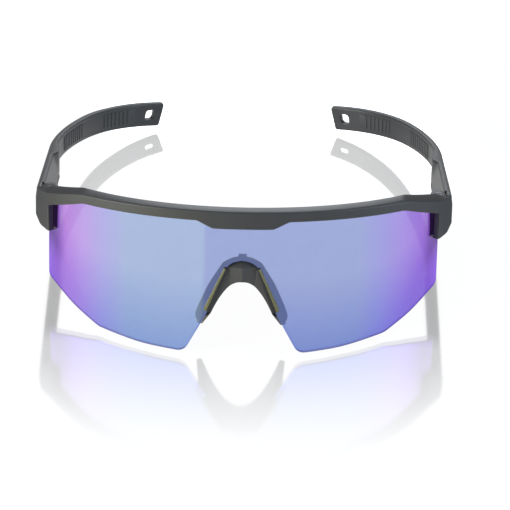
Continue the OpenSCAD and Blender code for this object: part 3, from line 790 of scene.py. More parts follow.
@dataclass
class BrowFrame:
    """The brow bar with its end pieces and hinge lugs."""

    form: FrontForm = FORM
    proud: float = 2.2
    lip: float = 1.0
    drop_h: float = 2.6
    drop_in: float = 10.2
    drop_out: float = 15.4
    kink_r: float = 5.0
    end_low: float = 32.4
    end_slant: float = 4.2
    edge_r: float = 0.45
    back_r: float = 0.7
    bevel_r: float = 0.10
    end_r: float = 0.3
    end_turn: float = 0.083
    wall_r: float = 0.45
    wall_len: float = 6.4
    wall_in: float = 1.4
    lug_t: float = 2.4
    lug_r: float = 0.25
    hinge_gap: float = 0.2
    insert_r: float = 1.55
    insert_floor: float = 0.4
    head_r: float = 1.45
    head_floor: float = 1.5

    def top_edge(self, x: Array) -> Array:
        """Height of the top edge: the arch to the kink, then the fall to the flat end.

        Args:
            x: Places across.

        Returns:
            The heights.
        """
        f = self.form
        line = rounded([
            *((a, f.brow_top - f.arch_fall(a), 0.0) for a in np.linspace(0, f.kink_x * 8 / 9, 9)),
            (f.kink_x, f.brow_top - f.arch_fall(f.kink_x), self.kink_r),
            (f.end_half - f.end_flat, f.end_top, self.kink_r),
            (f.end_half - f.end_taper, f.end_top, f.end_taper),
            (f.end_half, f.end_top - f.end_flat, 0.0),
        ])
        return follow(line, x)

    def low_edge(self, x: Array) -> Array:
        """Height of the bar's lower edge, with the deeper part over the nose.

        Args:
            x: Places across.

        Returns:
            The heights.
        """
        f = self.form
        line = rounded([
            (0.0, f.bar_low(0.0) - self.drop_h, 0.0),
            (self.drop_in, f.bar_low(self.drop_in) - self.drop_h, self.kink_r / 2),
            (self.drop_out, f.bar_low(self.drop_out), self.kink_r / 2),
            *((a, f.bar_low(a), 0.0) for a in np.linspace(self.drop_out + 3, f.kink_x - 4, 8)),
            (f.kink_x, f.bar_low(f.kink_x), self.kink_r),
            (f.end_half, f.fall_low(f.end_half), 0.0),
        ])
        return follow(line, x)

    def end_edge(self, x: Array) -> Array:
        """Height of the end piece's lower edge, with its slanted outer corner.

        Args:
            x: Places across.

        Returns:
            The heights.
        """
        h, w, s = self.form.end_half, self.end_low, self.end_slant
        line = rounded([(0, w, 0), (h - s, w, 1.5), (h - 0.4 * s, w + 0.22 * s, 2.0), (h, w + s, 0)])
        return follow(line, x)

    def bevel(self, x: Array) -> Array:
        """Width of the slope between top and front: widest at the kinks, narrow beyond them."""
        a, kink, start, end = np.abs(x), self.form.kink_x, 8, 4
        return ease(0.32, 0.55, (a - start) / (kink - start)) - ease(0.0, 0.31, (a - kink) / end)

    def section(self) -> dict[str, Array]:
        """Points round the bar's section, each a weighted sum of the heights at its place.

        Returns:
            Columns: base radius, radius per bevel, weights of the lower, top and groove heights,
            height per bevel, and a fixed height.
        """
        f = self.form
        outer, inner = f.lens_r + self.proud, f.lens_back - self.lip
        gap_in, gap_out = f.lens_back - f.play, f.lens_r + f.play
        e, b, t = self.edge_r, self.back_r, self.bevel_r
        near, far = 0.08 * t, 0.19 * t
        rows: list[tuple[float, ...]] = []

        def put(r: float, low: float, top: float, dz: float, rb: float = 0.0, zb: float = 0.0) -> None:
            """Add one point of the section; what the lower and top heights leave goes to the groove's."""
            rows.append((r, rb, low, top, 1 - low - top, zb, dz))

        for sine, fall in zip(*(part[::-1] for part in quarter(5))):
            put(outer - e * fall, 1, 0, e - e * sine)
        for k in np.linspace(0, 1, 28)[1:-1]:
            put(outer, 1 - k, k, e * (1 - k) - t * k, 0, -k)
        for r, dz in ((0.0, -t), (-far, -near), (-0.7 * t, 0.7 * t)):
            put(outer + r, 0, 1, dz, 0, -1)
        for r, dz in ((0.7 * t, -0.7 * t), (-near, -far), (-t, 0.0)):
            put(outer + r, 0, 1, dz, -1, 0)
        put((outer + inner) / 2, 0, 1, 0, -0.5, 0)
        for sine, fall in zip(*quarter(5)):
            put(inner + b - b * sine, 0, 1, -b * fall)
        for k in np.linspace(1, 0, 14)[1:-1]:
            put(inner, 1 - k, k, e * (1 - k) - b * k)
        for sine, fall in zip(*quarter(4)):
            put(inner + e * fall, 1, 0, e - e * sine)
        for r, low in ((gap_in, 1), (gap_in, 0), (gap_out, 0), (gap_out, 1)):
            put(r, low, 0, 0)
        return dict(zip(("r", "rb", "low", "top", "groove", "zb", "dz"), np.array(rows).T))

    def build_bar(self) -> Array:
        """Rings of the bar and one end piece, from the middle outward.

        A ring lies in a plane through the lens's axis up to the grip, where the lower edge drops
        to the end piece's, and then turns gradually into the plane of the end piece's back.

        Returns:
            Points of shape (rings, section points, 3).
        """
        f, s, e = self.form, self.section(), self.end_r
        reach = math.acos((f.lens_r - f.end_back) / f.lens_r) - f.grip
        pocket = (math.asin((f.lens_half + f.play) / f.lens_r) - f.grip) / reach
        bar = np.linspace(0, f.grip - 0.0006, 130)
        wall = np.sort(np.concatenate([
            [0.0, 0.03, 0.06, 0.1, 0.15, 0.94, 0.97, 0.99, 1.0], np.linspace(0.2, 0.9, 12),
            [pocket - 0.004, pocket + 0.004],
        ]))
        sine, fall = (part[1:] for part in quarter(4))
        k = np.concatenate([0 * bar, wall, 1 + 0 * sine])[:, None]
        base = np.concatenate([bar, np.full(len(k) - len(bar), f.grip)])[:, None]
        is_end = np.arange(len(k))[:, None] >= len(bar)
        flat = np.zeros(len(bar) + len(wall))
        plane = f.end_back - e + e * np.concatenate([flat, sine])[:, None]
        draw = e * np.concatenate([flat, fall])[:, None]

        def angle(r: Array) -> Array:
            """Angle at radius r: the ring's own, turning into the plane of the back."""
            return base + k * (np.arccos((f.lens_r - plane) / r) - base)

        b = self.bevel((f.lens_r + self.proud) * np.sin(base + k * self.end_turn))
        r = s["r"] + s["rb"] * b
        x = r * np.sin(angle(r))
        low, top = np.where(is_end, self.end_edge(x), self.low_edge(x)), self.top_edge(x)
        groove = np.where(k < pocket, f.lens_top(x) + f.play, low)
        z = s["low"] * low + s["top"] * top + s["groove"] * groove + s["zb"] * b + s["dz"]
        # The grip's upright edges are rounded, only below the bar
        q = np.clip(1 - k * self.wall_len / self.wall_r, 0, 1) * is_end
        shrink = self.wall_r * (1 - np.sqrt(1 - q * q)) * (1 - ease(0.0, 1.0, z - self.low_edge(x) + 0.5))
        mid_r, half_w = f.lens_r - f.lens_t / 2, (self.proud + self.lip + f.lens_t) / 2
        r = r - np.sign(r - mid_r) * shrink * (np.abs(r - mid_r) > self.wall_in)
        r = mid_r + (r - mid_r) * (1 - draw / half_w)
        mid_z = (top + low) / 2
        z = mid_z + (z - mid_z) * (1 - 2 * draw / (top - low))
        x = np.minimum(r * np.sin(angle(r)), f.end_half)
        return np.stack([x, f.lens_r - r * np.cos(angle(r)), z], -1)

    def lug_outline(self, inset: float) -> Array:
        """A lug seen from above: a straight tongue from the end piece with a round end.

        Args:
            inset: How far it is drawn in.

        Returns:
            Points (x, y) of the closed outline.
        """
        f = self.form
        r, (px, py) = f.knuckle_r - inset, f.pivot
        front = f.end_back - self.end_r
        a = np.radians(np.linspace(0, 180, 31))
        round_end = np.stack([px + r * np.cos(a), py + r * np.sin(a)], 1)
        line = [[(px, front), (px + r, front)], round_end, [(px - r, front), (px, front)]]
        return resample(np.concatenate(line), 73)[:-1]

    def build_lug(self, z: float, bore: Sequence[Pair]) -> Shell:
        """A hinge lug: its outline carried round a section that goes through its bore.

        Args:
            z: Height of its underside.
            bore: Steps of the bore as (radius, height above the underside), from the top down.

        Returns:
            The closed lug.
        """
        f, e = self.form, self.lug_r
        around = unit(self.lug_outline(0.0) - f.pivot)
        steps = list(zip(*quarter(3)))
        rounds = [(e * fall, e - e * sine) for sine, fall in steps[::-1]]
        rounds += [(e * fall, self.lug_t - e + e * sine) for sine, fall in steps]
        loops = [(f.pivot + r * around, h) for r, h in bore]
        loops += [(self.lug_outline(inset), h) for inset, h in rounds]
        rings = np.stack([np.column_stack([xy, np.full(len(xy), z + h)]) for xy, h in loops])
        shell = Shell()
        shell.grid(rings, wrap_rows=True, wrap_cols=True)
        return shell

    def build(self) -> Shell:
        """The bar with both end pieces and all four lugs.

        Returns:
            The frame.
        """
        f, half = self.form, self.build_bar()
        shell = Shell().tube(np.concatenate([half[:0:-1] * FLIP, half]))
        away = f.knuckle_h / 2 + self.hinge_gap
        for z, wide, narrow, floor in (
            (f.hinge_z - away - self.lug_t, self.insert_r, 0.0, self.insert_floor),
            (f.hinge_z + away, self.head_r, f.shank_r, self.head_floor),
        ):
            bore = [(wide, self.lug_t), (wide, floor), (narrow, floor), (narrow, 0.0)]
            shell.join_both(self.build_lug(z, bore))
        return shell

    def dress(self) -> None:
        """Make the frame in grained nylon."""
        piece = self.build().to_object("brow_bar", [NYLON.material()], 28.0)
        settle(piece, "front", "brow_frame")


# The nose piece


@dataclass
class NosePiece:
    """The clip on the lens's edge, with its olive strips, and the soft saddle that it holds."""

    form: FrontForm = FORM
    rail_low: float = 1.85
    rail_top: float = 0.78
    strip_w: float = 0.78
    strip_share: float = 0.35
    strip_step: float = 0.16
    rail_up: float = 0.8
    rail_r: float = 0.25
    web_t: float = 0.8
    web_top: float = 0.45
    flange_t: float = 1.0
    flange_w: float = 3.4
    flange_len: float = 6.4
    flange_top: float = 0.4
    flange_r: float = 0.15
    lobe: float = 0.74
    crest_x: float = 4.6
    foot_x: float = 19.2
    tab_w: float = 2.7
    tab_h: float = 1.2
    arch_z: float = 26.7
    arch_x: float = 10.3
    arch_low: float = 14.75
    arch_y: float = 0.9
    prow: float = 1.4
    bridge_up: float = 3.2
    saddle_y: float = 10.8
    pad_x: float = 13.4
    pad_z: float = 6.0
    pad_t: float = 1.9
    saddle_play: float = 0.1
    corner_u: float = 0.36
    corner_span: float = 0.06
    wing_in: float = 0.3
    saddle_in: float = 0.3
    roof_in: float = 2.4
    ledge_z: float = 31.8
    lip_share: float = 0.88
    pad_deg: float = 82.0
    end_len: float = 1.3

    @property
    def shoulder(self) -> Array:
        """Corner of the nose opening at the top of its side."""
        return np.array(self.form.shoulder)

    @property
    def waist(self) -> Array:
        """Corner of the nose opening at the foot of its side."""
        return np.array(self.form.waist)

    @property
    def side_out(self) -> Array:
        """Direction away from the side of the nose opening, onto the lens."""
        d = unit(self.waist - self.shoulder)
        return np.array([-d[1], d[0]])

    @property
    def shoulder_w(self) -> float:
        """Width of the flange at the shoulders."""
        return (2 * self.flange_top + self.flange_w) / 3

    @property
    def flange_in(self) -> float:
        """Radius of the back of the flange."""
        return self.form.lens_back - self.form.play - self.flange_t

    @property
    def shoulder_out(self) -> Array:
        """Offset direction at the shoulder, between the roof's and the side's."""
        roof = unit(np.array([self.form.peak_z - self.shoulder[1], self.shoulder[0]]))
        return (self.side_out + roof) / (1 + self.side_out @ roof)

    def build_rail(self) -> Shell:
        """One rail: a hook over the lens's edge, olive on its raised outer strip and dark inside.

        Returns:
            The closed rail, with marks 0 for the strip and 1 for the rest.
        """
        f, count, strip_end = self.form, 48, 7
        t = np.linspace(0, 1, count)
        run = self.shoulder + np.outer(t, self.waist - self.shoulder)
        wide = self.rail_top + (self.rail_low - self.rail_top) * t
        hook = np.full(count, -f.play)
        front, top, back = f.lens_r + f.play, f.lens_r + self.rail_up, self.flange_in + 0.05
        low, e = top - self.strip_step, self.rail_r
        web = -self.web_t * (self.web_top + (1 - self.web_top) * t)
        inner = np.minimum(wide - self.strip_w, wide * self.strip_share)
        section = [
            (wide, front), (wide, top - 0.3), (wide - 0.06, top - 0.12), (wide - 0.18, top - 0.03),
            (wide - 0.32, top), (inner + 0.08, top), (inner, top - 0.05), (inner - 0.04, low),
            (web + e, low), (web + 0.3 * e, low - 0.3 * e), (web, low - e), (web, back), (hook, back),
            (hook, front),
        ]
        off = np.stack([o for o, _ in section], 1)
        flat = run[:, None, :] + off[..., None] * self.side_out
        rings = f.wrap(np.array([r for _, r in section]), flat[..., 0], flat[..., 1])
        mid = rings[:, [1, 10]].mean(1, keepdims=True)
        grow = np.ones((count, 1, 1))
        grow[:3, 0, 0] = (0.82, 0.93, 0.98)
        grow[-4:, 0, 0] = (0.98, 0.94, 0.85, 0.68)
        rings = mid + (rings - mid) * grow
        shell = Shell()
        shell.grid(rings[:, :strip_end + 1], mark=0)
        shell.grid(rings[:, strip_end:], mark=1)
        shell.grid(rings[:, [-1, 0]], mark=1)
        shell.cap(rings[0], 1)
        shell.cap(rings[-1], 1)
        return shell

    def flange_lines(self) -> tuple[Array, Array]:
        """Outer and inner outline of the flange, from one end over the bridge to the other.

        Returns:
            Points (x, z) of the rounded outer outline, with a square tab at the top, and of the
            opening's edge.
        """
        f, w = self.form, self.flange_w

        def crest(x: Array) -> Array:
            """The flange's upper outline over the roof."""
            rise = self.flange_top + (self.shoulder_w - self.flange_top) * x / f.shoulder[0]
            return np.stack([x, f.roof(x) + rise], 1)

        tab_x, roof_x = np.linspace(0, self.tab_w / 2, 5), np.linspace(self.tab_w / 2, self.crest_x, 12)
        tab_z = f.peak_z + self.flange_top + self.tab_h
        foot = unit(np.array([self.foot_x, 0.0]) - self.waist)
        foot_out = np.array([-foot[1], foot[0]])
        end = self.waist + self.flange_len * foot
        side = resample(rounded([
            (*crest(np.array([self.crest_x]))[0], 0.0),
            (*(self.shoulder + self.shoulder_w * self.shoulder_out), 3.0),
            (*((self.shoulder + self.waist) / 2 + 0.9 * w * self.side_out), 32.0),
            (*(self.waist + w * self.side_out), 2 * w),
            (*(end + self.lobe * w * foot_out), self.lobe * w),
            (*(end + 0.1 * foot_out - 0.8 * foot), 0.0),
        ]), 60)
        outer = np.concatenate([np.stack([tab_x, np.full(5, tab_z)], 1), crest(roof_x), side[1:]])
        roof = np.concatenate([tab_x, roof_x])
        roof = np.stack([roof, f.roof(roof) + self.saddle_play], 1)
        inner = np.concatenate([roof, resample(np.array([roof[-1], self.shoulder, self.waist, end]), 60)[1:]])
        return tuple(np.concatenate([line[:0:-1] * FLIP[:2], line]) for line in (outer, inner))

    def build_flange(self) -> Shell:
        """The flange behind the lens: a ribbon between the opening's edge and a rounded outline.

        Returns:
            The closed flange, with mark 2.
        """
        f, e = self.form, self.flange_r
        outer, inner = self.flange_lines()
        across = inner - outer
        soft = outer + e * across / np.maximum(np.linalg.norm(across, axis=1, keepdims=True), 2 * e)
        near, far = f.lens_back - f.play, self.flange_in
        loops = [(inner, near), (soft, near), (outer, near - e), (outer, far + e), (soft, far), (inner, far)]
        return Shell().tube(np.stack([f.wrap(r, *line.T) for line, r in loops], 1), 2)

    def edge(self, k: Array, roof_off: float, side_off: float, low_off: float) -> Array:
        """Nose opening's edge at a place k from 0, the peak, to 1, the waist, moved by offsets.

        Args:
            k: Places along the half edge.
            roof_off: Offset above the roof.
            side_off: Offset beside the shoulder.
            low_off: Offset beside the waist.

        Returns:
            Points (x, z).
        """
        f = self.form
        at = [0.0, self.corner_u, self.corner_u + self.corner_span, 1.0]
        ways = np.array([
            (0.0, f.peak_z + roof_off), self.shoulder + roof_off * self.shoulder_out,
            self.shoulder + side_off * self.side_out, self.waist + low_off * self.side_out,
        ])
        line = np.stack([np.interp(k, at, way) for way in ways.T], -1)
        part = np.minimum(k / self.corner_u, 1.0)
        line[:, 1] += f.roof(f.shoulder[0] * part) - (f.peak_z + (f.shoulder[1] - f.peak_z) * part)
        return line

    def saddle_corners(self, k: Array) -> list[tuple[Array, Array, float]]:
        """Corners of the saddle's section at places k from 0, over the nose, to 1, at a foot.

        They run from the opening's edge at the front, over the arch, to the pad's back and up to
        the flange. The bridge has a level ledge under the roof and below it two flat facets that
        meet in a ridge at the middle.

        Args:
            k: Places along one half.

        Returns:
            For each corner its points (x, z), their depths and the size of its rounding.
        """
        f, c = self.form, self.corner_u
        low_in, top_in = (-self.web_t * share - self.saddle_play for share in (1.0, self.web_top))
        lip = self.edge(k, -f.play - self.saddle_play, top_in, low_in)
        wing = self.edge(k, *(w - self.wing_in for w in (self.flange_top, self.shoulder_w, self.flange_w)))
        arch = np.stack([self.arch_x * k, self.arch_z + (self.arch_low - self.arch_z) * k**2], -1)
        ridge = self.arch_y - self.prow * np.clip(1 - k / (c + 0.05), 0, 1)
        high = self.arch_z + self.bridge_up
        rear = np.stack([self.pad_x * k, high + (self.pad_z - high) * k**2], -1)
        a = np.radians(self.pad_deg * k)
        thick = rear + self.pad_t * np.stack([np.sin(a), np.cos(a)], -1)
        back, behind = self.flange_in - self.saddle_play, np.full_like(k, self.saddle_y)
        sunk = ease(self.roof_in, self.saddle_in, (k - c + 0.07) / 0.08)
        front = f.depth(f.lens_r - sunk, lip[:, 0])
        on = ease(1.0, 0.0, (k - c + 0.02) / 0.12)
        flat = np.stack([0.97 * lip[:, 0], np.minimum(self.ledge_z, lip[:, 1] - 0.1)], -1)
        near, far = self.lip_share, 1 - self.lip_share
        ledge = on[:, None] * flat + (1 - on[:, None]) * (near * lip + far * arch)
        step = on * ridge + (1 - on) * (near * front + far * ridge)
        return [
            (lip, front, 0.12), (ledge, step, 0.2), (arch, ridge, 0.35),
            (rear, behind, 0.6), (thick, behind, 0.9),
            (wing, f.depth(back, wing[:, 0]), 0.25), (lip, f.depth(back, lip[:, 0]), 0.05),
        ]

    def build_saddle(self) -> Shell:
        """The saddle: rings from one foot over the bridge to the other, each with softened corners.

        A corner becomes five points, mixed from itself and a point on either side of it. Each foot
        ends in a round.

        Returns:
            The closed saddle.
        """
        stops = [0, self.corner_u, self.corner_u + self.corner_span, 1]
        spans = [np.linspace(a, b, count) for a, b, count in zip(stops, stops[1:], (24, 6, 44))]
        half = np.unique(np.concatenate(spans))
        u = np.concatenate([-half[:0:-1], half])
        corners = self.saddle_corners(np.abs(u))
        raw = np.stack([np.stack([np.sign(u) * p[:, 0], y, p[:, 1]], -1) for p, y, _ in corners], 1)
        size = np.array([r for _, _, r in corners])[:, None]
        before, after = np.roll(raw, 1, 1) - raw, np.roll(raw, -1, 1) - raw
        span = np.minimum(np.linalg.norm(before, axis=-1), np.linalg.norm(after, axis=-1))[..., None]
        cut = np.minimum(size, 0.42 * span)
        p, q = raw + cut * unit(before), raw + cut * unit(after)
        mixes = ((1, 0, 0), (0.56, 0.375, 0.065), (0.25, 0.5, 0.25), (0.065, 0.375, 0.56), (0, 0, 1))
        rings = np.stack([a * p + b * raw + c * q for a, b, c in mixes], 2).reshape(len(u), -1, 3)[1:-1]
        mid = rings.mean(1, keepdims=True)
        turn = np.radians([18, 36, 52, 66, 78, 87])[:, None, None]
        shrink, grow = np.cos(turn), self.end_len * np.sin(turn)
        first, last = (
            mid[at] + (rings[at] - mid[at]) * shrink + grow * unit(mid[at] - mid[inward])
            for at, inward in ((0, 3), (-1, -4))
        )
        return Shell().tube(np.concatenate([first[::-1], rings, last]))

    def dress(self) -> None:
        """Make the clip, olive on its strips and dark elsewhere, and the saddle in matte rubber."""
        shell = self.build_flange()
        shell.join_both(self.build_rail())
        finishes = [finish.material() for finish in (OLIVE, CLIP, FLANGE)]
        settle(shell.to_object("nose_clip_rails", finishes, 34.0), "front", "nose_clip")
        saddle = self.build_saddle().to_object("nose_saddle_pad", [RUBBER.material()], 24.0)
        settle(saddle, "front", "nose_saddle")


# The temples


@dataclass
class Temple:
    """One temple: a block at the hinge that thins to a bent blade with a strap slot."""

    form: FrontForm = FORM
    temple_in: float = 0.4
    toe: float = 1.4
    straight: float = 49.0
    bend_1: Pair = (96.0, 24.0)
    bend_2: Pair = (48.0, 45.6)
    droop: float = 5.2
    top_step: float = 0.1
    block_h: float = 11.2
    block_t: float = 4.5
    strip_t: float = 2.2
    block_len: float = 39.0
    step_len: float = 5.0
    shoulder_t: float = 4.0
    thin_len: float = 14.0
    blade_t: float = 2.4
    blade_h: float = 8.0
    taper_len: float = 60.0
    tip_up: float = 0.9
    edge_r: float = 0.6
    butt_r: float = 0.35
    tip_slant: float = 15.0
    tip_r: float = 1.0
    slot: Pair = (3.4, 3.6)
    slot_in: float = 5.0
    slot_r: float = 1.0
    slot_edge: float = 0.25
    slot_lean: float = 0.7
    recess: Pair = (65.0, 116.0)
    recess_d: float = 0.9
    recess_slope: float = 0.3
    grip_h: float = 5.4
    grip_play: float = 0.08
    grip_gap: float = 0.02
    grip_r: float = 0.03
    grip_draft: float = 0.1
    notch_s: float = 5.5
    notch_n: float = 1.7
    notch_len: float = 14.0
    notch_up: float = 1.4
    neck_n: float = 3.7
    patch_s: float = 118.0
    knuckle_e: float = 0.2
    rib_up: float = 0.32
    rib_pitch: float = 2.0
    rib_w: float = 1.3
    ribs: tuple[tuple[float, int], ...] = ((67.0, 10), (101.0, 7))

    @property
    def length(self) -> float:
        """Length of the outer face, straight and both bends."""
        return self.straight + sum(r * math.radians(a) for r, a in (self.bend_1, self.bend_2))

    def heading(self, s: Array) -> Array:
        """Direction of the outer face at length s, in radians from straight back.

        Args:
            s: Lengths along the outer face.

        Returns:
            The directions: each bend adds its length over its radius.
        """
        (r1, a1), (r2, _) = self.bend_1, self.bend_2
        first = np.clip(s - self.straight, 0, r1 * math.radians(a1))
        second = np.clip(s - self.straight - r1 * math.radians(a1), 0, None)
        return math.radians(self.toe) + first / r1 + second / r2

    def outer(self, s: Array) -> Array:
        """Outer face from above: the straight, then arcs whose centres lie along the inward normal.

        Args:
            s: Lengths along the outer face.

        Returns:
            Points (x, y).
        """
        (r1, a1), (r2, _), f = self.bend_1, self.bend_2, self.form
        h0, h1 = math.radians(self.toe), math.radians(self.toe + a1)
        h = self.heading(s)
        start = np.array([f.end_half - self.temple_in, f.end_back + f.butt_gap])
        line = start + np.clip(s, None, self.straight)[..., None] * np.array([-math.sin(h0), math.cos(h0)])
        for r, begin, end in ((r1, h0, np.minimum(h, h1)), (r2, h1, np.maximum(h, h1))):
            line = line + r * (np.stack([np.cos(end), np.sin(end)], -1) - [math.cos(begin), math.sin(begin)])
        return line

    def point(self, s: Array, n: Array | float, z: Array) -> Array:
        """Points of the temple.

        Args:
            s: Lengths along the outer face.
            n: Depths in from the outer face.
            z: Heights.

        Returns:
            The points (x, y, z).
        """
        s, n, z = np.broadcast_arrays(s, n, z)
        h = self.heading(s)
        xy = self.outer(s) - n[..., None] * np.stack([np.cos(h), np.sin(h)], -1)
        return np.concatenate([xy, z[..., None]], -1)

    def rise(self, s: Array) -> Array:
        """How much the blade has grown upward on its way to the end."""
        return ease(0.0, self.tip_up, (s - self.taper_len) / (self.length - self.taper_len))

    def top(self, s: Array) -> Array:
        """Height of the top edge."""
        return self.form.end_top - self.top_step - math.tan(math.radians(self.droop)) * s + self.rise(s)

    def height(self, s: Array) -> Array:
        """Height of the section."""
        return self.block_h + (self.blade_h - self.block_h) * np.clip(s / self.taper_len, 0, 1) + self.rise(s)

    def middle(self, s: Array) -> Array:
        """Height of the middle of the section."""
        return self.top(s) - self.height(s) / 2

    def sunk(self, s: Array) -> Array:
        """How deep the grip's recess is at s, as a share: it slopes at both ends."""
        return np.clip(np.minimum(s - self.recess[0], self.recess[1] - s) / self.recess_slope, 0, 1)

    def inner(self, s: Array, first: float) -> Array:
        """Thickness along the top or lower edge: sloping block, upright shoulder, thin blade.

        Args:
            s: Lengths along the outer face.
            first: Thickness of the block at that edge.

        Returns:
            The thicknesses.
        """
        shoulder = self.block_len + self.step_len
        near = ease(first, self.shoulder_t, (s - self.block_len) / self.step_len)
        far = ease(self.shoulder_t, self.blade_t, (s - shoulder) / self.thin_len)
        return np.where(s < shoulder, near, far)

    def levels(self, s: Array) -> Array:
        """Heights at which the faces are divided: near the hinge for the lugs, then for the recess.

        Args:
            s: Lengths along the outer face.

        Returns:
            For each length the heights from the top down. Numbers 3 to 10 lie in the recess, and
            numbers 11 to 13 at the knuckle.
        """
        mid, e = self.middle(s), self.edge_r
        hi, lo = self.top(s) - e, self.top(s) - self.height(s) + e
        w = ease(0.0, 1.0, (s - self.notch_s) / self.notch_len)
        half, z0, thin = self.form.knuckle_h / 2, self.form.hinge_z, 0.1
        a = (1 - w) * (z0 + half + self.notch_up) + w * (mid + self.grip_h / 2)
        d = (1 - w) * (z0 + half) + w * (mid - self.grip_h / 2)
        f1 = (1 - w) * (z0 - half) + w * (d + (lo - d) / 3)
        f2 = (1 - w) * (z0 - half - thin) + w * (d + 2 * (lo - d) / 3)
        sunk = np.linspace(a - thin, d + thin, 8)
        return np.stack([hi, hi + (a - hi) / 2, a, *sunk, d, (d + f1) / 2, f1, f2, (f2 + lo) / 2, lo], 1)

    def stations(self) -> Array:
        """Places of the rings, closer where the section changes fast.

        Returns:
            Lengths along the outer face.
        """
        notch, (start, end) = self.notch_s, self.recess
        near = np.array([0.0, 0.05, 0.25, 0.3])
        return np.unique(np.concatenate([
            [0.0, 0.08, 0.2, 0.4], np.linspace(0.8, notch - 0.4, 6), [notch - 0.02, notch + 0.02],
            np.linspace(notch + 0.5, 38.5, 34), np.linspace(39, 44, 26), np.linspace(44.5, 58, 30),
            np.linspace(59, 64.6, 7), start + near, np.linspace(start + 1, end - 1, 60), end - near,
            np.linspace(end + 0.5, self.patch_s, 4),
        ]))

    def rings(self) -> Array:
        """Rings of the temple up to where the slotted end starts.

        Each ring goes up the outer face, over the top, down the inner face and under, with
        rounded corners. Near the hinge the inner face has notches for the frame's lugs; further
        back it has the recess for the grip.

        Returns:
            Points of shape (rings, section points, 3).
        """
        e, s, notch = self.edge_r, self.stations(), self.notch_n
        lev = self.levels(s)
        top, low = self.top(s)[:, None], (self.top(s) - self.height(s))[:, None]
        n_top, n_low = (self.inner(s, first)[:, None] for first in (self.strip_t, self.block_t))
        face = n_low + (n_top - n_low) * np.clip((lev - low) / (top - low), 0, 1)
        index = np.arange(lev.shape[1])
        in_recess, neck = (index >= 3) & (index <= 10), (index >= 11) & (index <= 13)
        face = face - self.recess_d * self.sunk(s)[:, None] * in_recess
        near = (s < self.notch_s)[:, None]
        face = np.where(near, np.where(neck, np.minimum(face, self.neck_n), notch), face)
        n_top, n_low = np.where(near, notch, n_top), np.where(near, notch, n_low)
        z_in = lev.copy()
        for at, edge in ((10, 11), (14, 13)):
            z_in[:, at] = np.where(near[:, 0], lev[:, edge], lev[:, at])
        sine, fall = quarter(5)
        parts = [
            (np.zeros_like(lev), lev[:, ::-1]),
            (e * fall + 0 * top, top - e + e * sine),
            (n_top - e + e * sine, top - e * fall),
            (face, z_in),
            (n_low - e * fall, low + e - e * sine),
            (e * (1 - sine) + 0 * top, low + e * fall),
        ]
        n, z = (np.concatenate(part, 1) for part in zip(*parts))
        q = np.clip(1 - s / 0.4, 0, 1)[:, None]
        butt = self.butt_r * (1 - np.sqrt(1 - q * q))
        mid = (top + low) / 2
        z = z - np.sign(z - mid) * butt * (np.abs(z - mid) > (top - low) / 2 - 2 * e)
        n = n + butt * (n < 0.7)
        return self.point(s[:, None], n, z)

    def slot_polar(self, angle: Array) -> Array:
        """Distance from the slot's middle to its edge in the given directions.

        The edge is a rounded square whose upper side is moved along by the slot's lean.

        Args:
            angle: Directions in radians.

        Returns:
            The distances.
        """
        l, h, r = self.slot[0] / 2, self.slot[1] / 2, self.slot_r
        square = rounded([(0.0, h, 0.0), (l, h, r), (l, -h, r), (-l, -h, r), (-l, h, r), (0.0, h, 0.0)])
        line = resample(square, 721)
        line[:, 0] += line[:, 1] * math.tan(math.radians(self.slot_lean * self.tip_slant))
        around = np.unwrap(np.arctan2(line[:, 1], line[:, 0]))
        order = np.argsort(around)
        return np.interp(angle, around[order], np.linalg.norm(line, axis=1)[order], period=2 * math.pi)

    def tip_edge(self) -> Array:
        """Outline of the slotted end, from its top over the slanted tip to its underside.

        Returns:
            Points (length, height).
        """
        s0, end = self.patch_s, self.length
        tan_d, tan_t = math.tan(math.radians(self.droop)), math.tan(math.radians(self.tip_slant))
        half, mid = self.height(end) / 2, self.middle(end)
        s_top, s_low = end + half * tan_t, end - half * tan_t
        return resample(rounded([
            (s0, self.top(s0), 0.0),
            (s_top, mid + half - (s_top - end) * tan_d, self.tip_r),
            (s_low, mid - half - (s_low - end) * tan_d, self.tip_r),
            (s0, self.top(s0) - self.height(s0), 0.0),
        ]), 84)

    def build_tip(self, shell: Shell) -> None:
        """The slotted end: both faces as rings between slot and outline, an edge round the outline
        and a wall through the slot.

        Args:
            shell: Where the surfaces go.
        """
        e, g, s0, t = self.edge_r, self.slot_edge, self.patch_s, self.blade_t
        edge = self.tip_edge()
        out = side_normals(edge)
        out[0], out[-1] = (0.0, 1.0), (0.0, -1.0)
        inset = edge - e * out
        level = self.levels(np.array([s0]))[0][::-1]
        inset[0], inset[-1] = (s0, level[-1]), (s0, level[0])
        loop = np.concatenate([inset, np.stack([np.full(len(level) - 2, s0), level[1:-1]], 1)])
        hole = np.array([self.length - self.slot_in, self.middle(self.length - self.slot_in)])
        way = unit(loop - hole)
        reach = self.slot_polar(np.arctan2(way[:, 1], way[:, 0]))[:, None]
        v = np.linspace(0, 1, 8)[:, None, None]
        face = (hole + way * (reach + g)) * (1 - v) + loop * v
        for n in (t, 0.0):
            shell.grid(self.point(face[..., 0], n, face[..., 1]), wrap_cols=True)
        sine, fall = quarter(5)
        off = np.concatenate([sine, 1 - fall])[:, None, None] * e
        strip = inset + off * out
        n = np.concatenate([e * fall, t - e + e * sine])[:, None]
        shell.grid(self.point(strip[..., 0], n, strip[..., 1]))
        sine, fall = quarter(3)
        wall = hole + way * (reach + g * np.concatenate([1 - sine, fall])[:, None, None])
        n = np.concatenate([g * fall, t - g + g * sine])[:, None]
        shell.grid(self.point(wall[..., 0], n, wall[..., 1]), wrap_cols=True)

